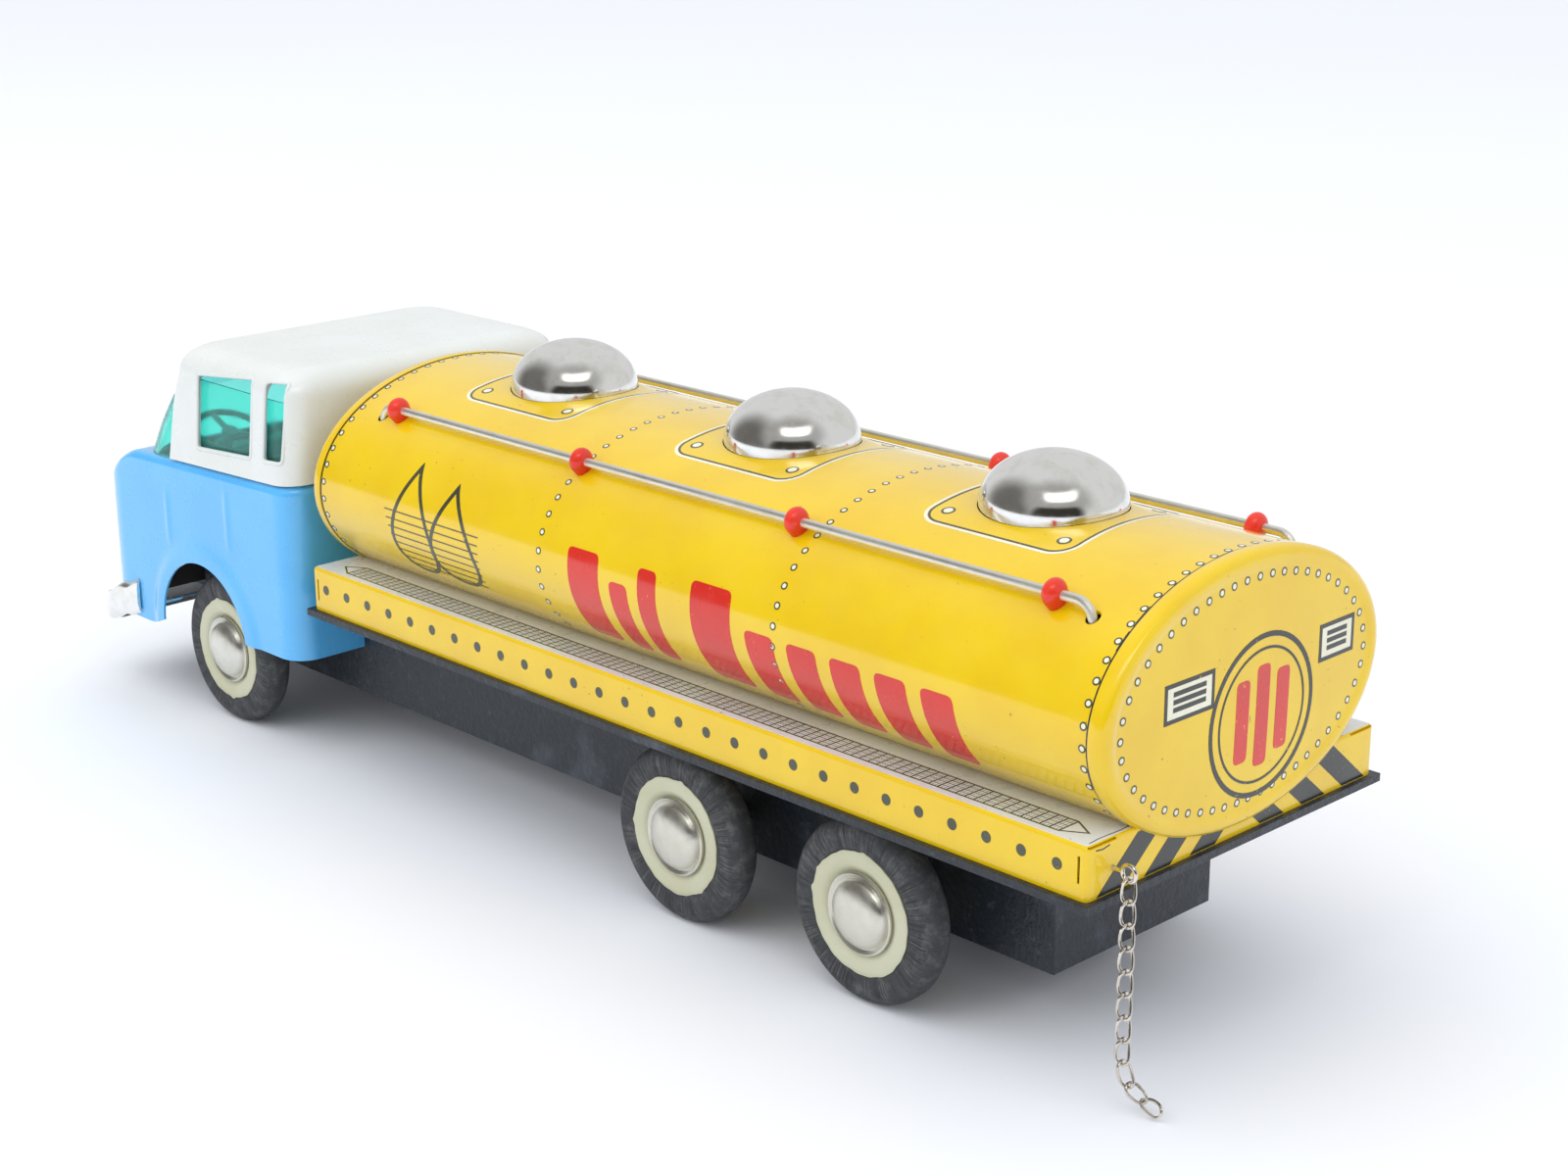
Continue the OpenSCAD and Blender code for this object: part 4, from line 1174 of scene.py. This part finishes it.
def apron_print():
    """Slanted dark stripes on the rear apron, dots on the side aprons and a ladder band on the deck."""
    stripes, ladder, fine = Flat(), Flat(), Flat()
    z0, z1 = bed_low.z + 0.2, bed_high.z - 1.0
    lean = 1.2 * (z1 - z0)
    for s in (1, -1):
        for y in (11.5, 25.8, 40.1):
            corners = ((y - 4, z0), (y + 4, z0), (y + 4 - lean, z1), (y - 4 - lean, z1))
            stripes.fill([(s * v, z) for v, z in corners], 20)
    stripes.wrap("apron_stripes", lambda y, z, h: (bed_low.x - h, y, z), PRINT_BLACK, 0.06)
    for side, s in SIDES:
        flat = Flat()
        for x in spread(-169.2, 71.2, 8.9):
            flat.dot(x, bed_low.z + 6.0, 1.25, 18)
        flat.wrap(f"apron_dots_{side}", lambda x, z, h, s=s: (x, s * (bed_high.y + h), z), PRINT_DARK, 0.05)
        front, back = bed_high.x - 6.5, bed_low.x + 4.5
        low, high = 38.2, 44.2
        middle = (low + high) / 2
        tips = [(front - 5, s * high), (front, s * middle), (front - 5, s * low)]
        tips += [(back + 5, s * low), (back, s * middle), (back + 5, s * high)]
        ladder.line(tips, 0.42, True)
        for y in (low + 1.5, middle, high - 1.5):
            fine.line([(front - 5, s * y), (back + 5, s * y)], 0.12)
        for x in spread(back + 5, front - 5, 2.4):
            ladder.line([(x, s * (low + 0.2)), (x, s * (high - 0.2))], 0.4)
        for x in spread(back + 5, front - 5, 0.8):
            fine.line([(x, s * (low + 0.2)), (x, s * (high - 0.2))], 0.1)
    ladder.wrap("deck_ladder", lambda x, y, h: (x, y, DECK_Z + h), PRINT_DARK, 0.05)
    fine.wrap("deck_ladder_fine", lambda x, y, h: (x, y, DECK_Z + h), PRINT_DARK, 0.03)


def worn_corner():
    """Bare dark edges where the bed's left rear corner is folded."""
    x0, y1, z1 = bed_low.x, bed_high.y, bed_high.z
    rear, top = Flat(), Flat()
    rear.line([(y1 - 2.4, z1 - 1.2), (y1 - 4.5, z1 - 1.45), (y1 - 6.5, z1 - 1.1)], 0.3)
    top.line([(x0 + 1.3, y1 - 2.0), (x0 + 1.6, y1 - 5.5), (x0 + 1.3, y1 - 11), (x0 + 1.5, y1 - 14)], 0.22)
    rear.wrap("worn_rear_edge", lambda y, z, h: (x0 - h, y, z), PRINT_BLACK, 0.04)
    top.wrap("worn_deck_edge", lambda x, y, h: (x, y, z1 + h), PRINT_BLACK, 0.04)


def flange_tabs():
    """Yellow tabs of the bed, bent through the black flange."""
    for side, s in SIDES:
        tabs = Flat()
        for x in (47, -12, -88, -148):
            tabs.fill(rect(x - 1.8, bed_low.z - 1.3, x + 1.8, bed_low.z - 0.1), 5)
        out = chassis_high.y - 0.12
        tabs.wrap(f"bed_tabs_{side}", lambda x, z, h, s=s: (x, s * (out + h), z), YELLOW, 0.1, 0.3)


def cap_gap_shade():
    """Painted shade: dark lines for the shadow in the gaps between the caps and the shell, and dark patches
    for the shade in the slots of the rear cap's tabs.
    """
    dark = Flat()
    # Dark patches: painted shade in the tab slots.
    for t in (4, -31, 30, 37, 66, -62):
        dark.fill(rect(bed_low.x + 2.5, t - 2.4, bed_low.x + 3.3, t + 2.4), 1.2)
    # Dark lines: painted shadow in the gap at each cap's edge.
    for x in (bed_low.x + 2.85, bed_high.x - 2.85):
        dark.line([(x, t) for t in spread(-FOOT + 1, FOOT - 1, 1.6)], 0.5)
    dark.wrap("cap_seam_painted_shade", on_tank, PRINT_BLACK, 0.04)


rivet_rows()
dome_plates()
side_bars()
side_emblem()
rear_cap_print()
apron_print()
worn_corner()
flange_tabs()
cap_gap_shade()

# ---------- floor and light ----------


def build_floor():
    """Round floor, large enough to fill the view."""
    profile = [(0, 0), (400, 0), (9000, 0), (9000, -10), (400, -10), (0, -10)]
    turned = lathe(profile, lambda r, h, a: (r * math.cos(a), r * math.sin(a), h), 72)
    obj = solid("floor", turned[0], turned[1])
    n = Finish("pale_floor")
    n.set(Base_Color=n.mix(n.noise(1.5, 2), rgb(242, 244, 248), rgb(239, 242, 247)))
    n.set(Roughness=0.8, Specular_IOR_Level=0.1)
    obj.data.materials.append(n.material)


build_floor()


def lamp(name, place, power, size, colour=(1, 1, 1)):
    """Soft square lamp that points at the truck."""
    data = bpy.data.lights.new(name, "AREA")
    data.energy = power
    data.size = size
    data.color = colour
    obj = bpy.data.objects.new(name, data)
    obj.location = place
    obj.rotation_mode = "QUATERNION"
    obj.rotation_quaternion = (Vector((0, 0, 0.05)) - obj.location).to_track_quat("-Z", "Y")
    obj.visible_glossy = False
    bpy.context.scene.collection.objects.link(obj)


lamp("key", (0.6, 1.1, 1.5), 13.0, 2.2)
lamp("fill", (-1.5, 0.1, 1.2), 4.0, 1.6, (0.97, 0.98, 1.0))


def build_world():
    """Pale surroundings. Only gloss picks up their bright window and their dark places."""
    world = bpy.data.worlds.new("world")
    bpy.context.scene.world = world
    world.use_nodes = True
    n = Nodes(world.node_tree)

    def toward(direction, low, high):
        """From 0 to 1 as a direction comes close to the one given."""
        dot = n.vector("DOT_PRODUCT", n.place.outputs["Generated"], Vector(direction).normalized())
        return n.ramp(dot, low, high)

    def product(a, b):
        return n.math("MULTIPLY", a, b)

    sky = n.mix(toward((0, 0, 1), 0.0, 0.8), (0.56, 0.57, 0.59, 1), (0.98, 0.99, 1.02, 1))
    shine = n.mix(toward((0.55, 0.78, 0.3), 0.5, 0.92), (0.64, 0.65, 0.66, 1), (0.14, 0.135, 0.13, 1))
    shine = n.mix(toward((-0.55, 0.5, 0.65), 0.5, 0.85), shine, (0.36, 0.36, 0.36, 1))
    strip = product(toward((0, 0, 1), 0.62, 0.76), toward((0, 0, -1), -0.93, -0.8))
    ends = product(toward((0.69, 0.72, 0), -0.5, -0.25), toward((-0.69, -0.72, 0), -0.35, -0.1))
    strip = product(strip, ends)
    shine = n.mix(product(strip, toward((-0.72, 0.69, 0), 0.1, 0.3)), shine, (3.0, 3.0, 2.95, 1))
    low = product(toward((-0.72, 0.69, 0), 0.68, 0.84), toward((0, 0, -1), -0.5, -0.38))
    shine = n.mix(low, shine, (0.03, 0.027, 0.022, 1))
    path = n.add("LightPath")
    sky = n.mix(path.outputs["Is Glossy Ray"], sky, shine)
    sky = n.mix(path.outputs["Is Camera Ray"], sky, (0.76, 0.8, 0.8, 1))
    background = n.tree.nodes["Background"]
    n.put(sky, background.inputs["Color"])
    n.put(1.12, background.inputs["Strength"])


build_world()
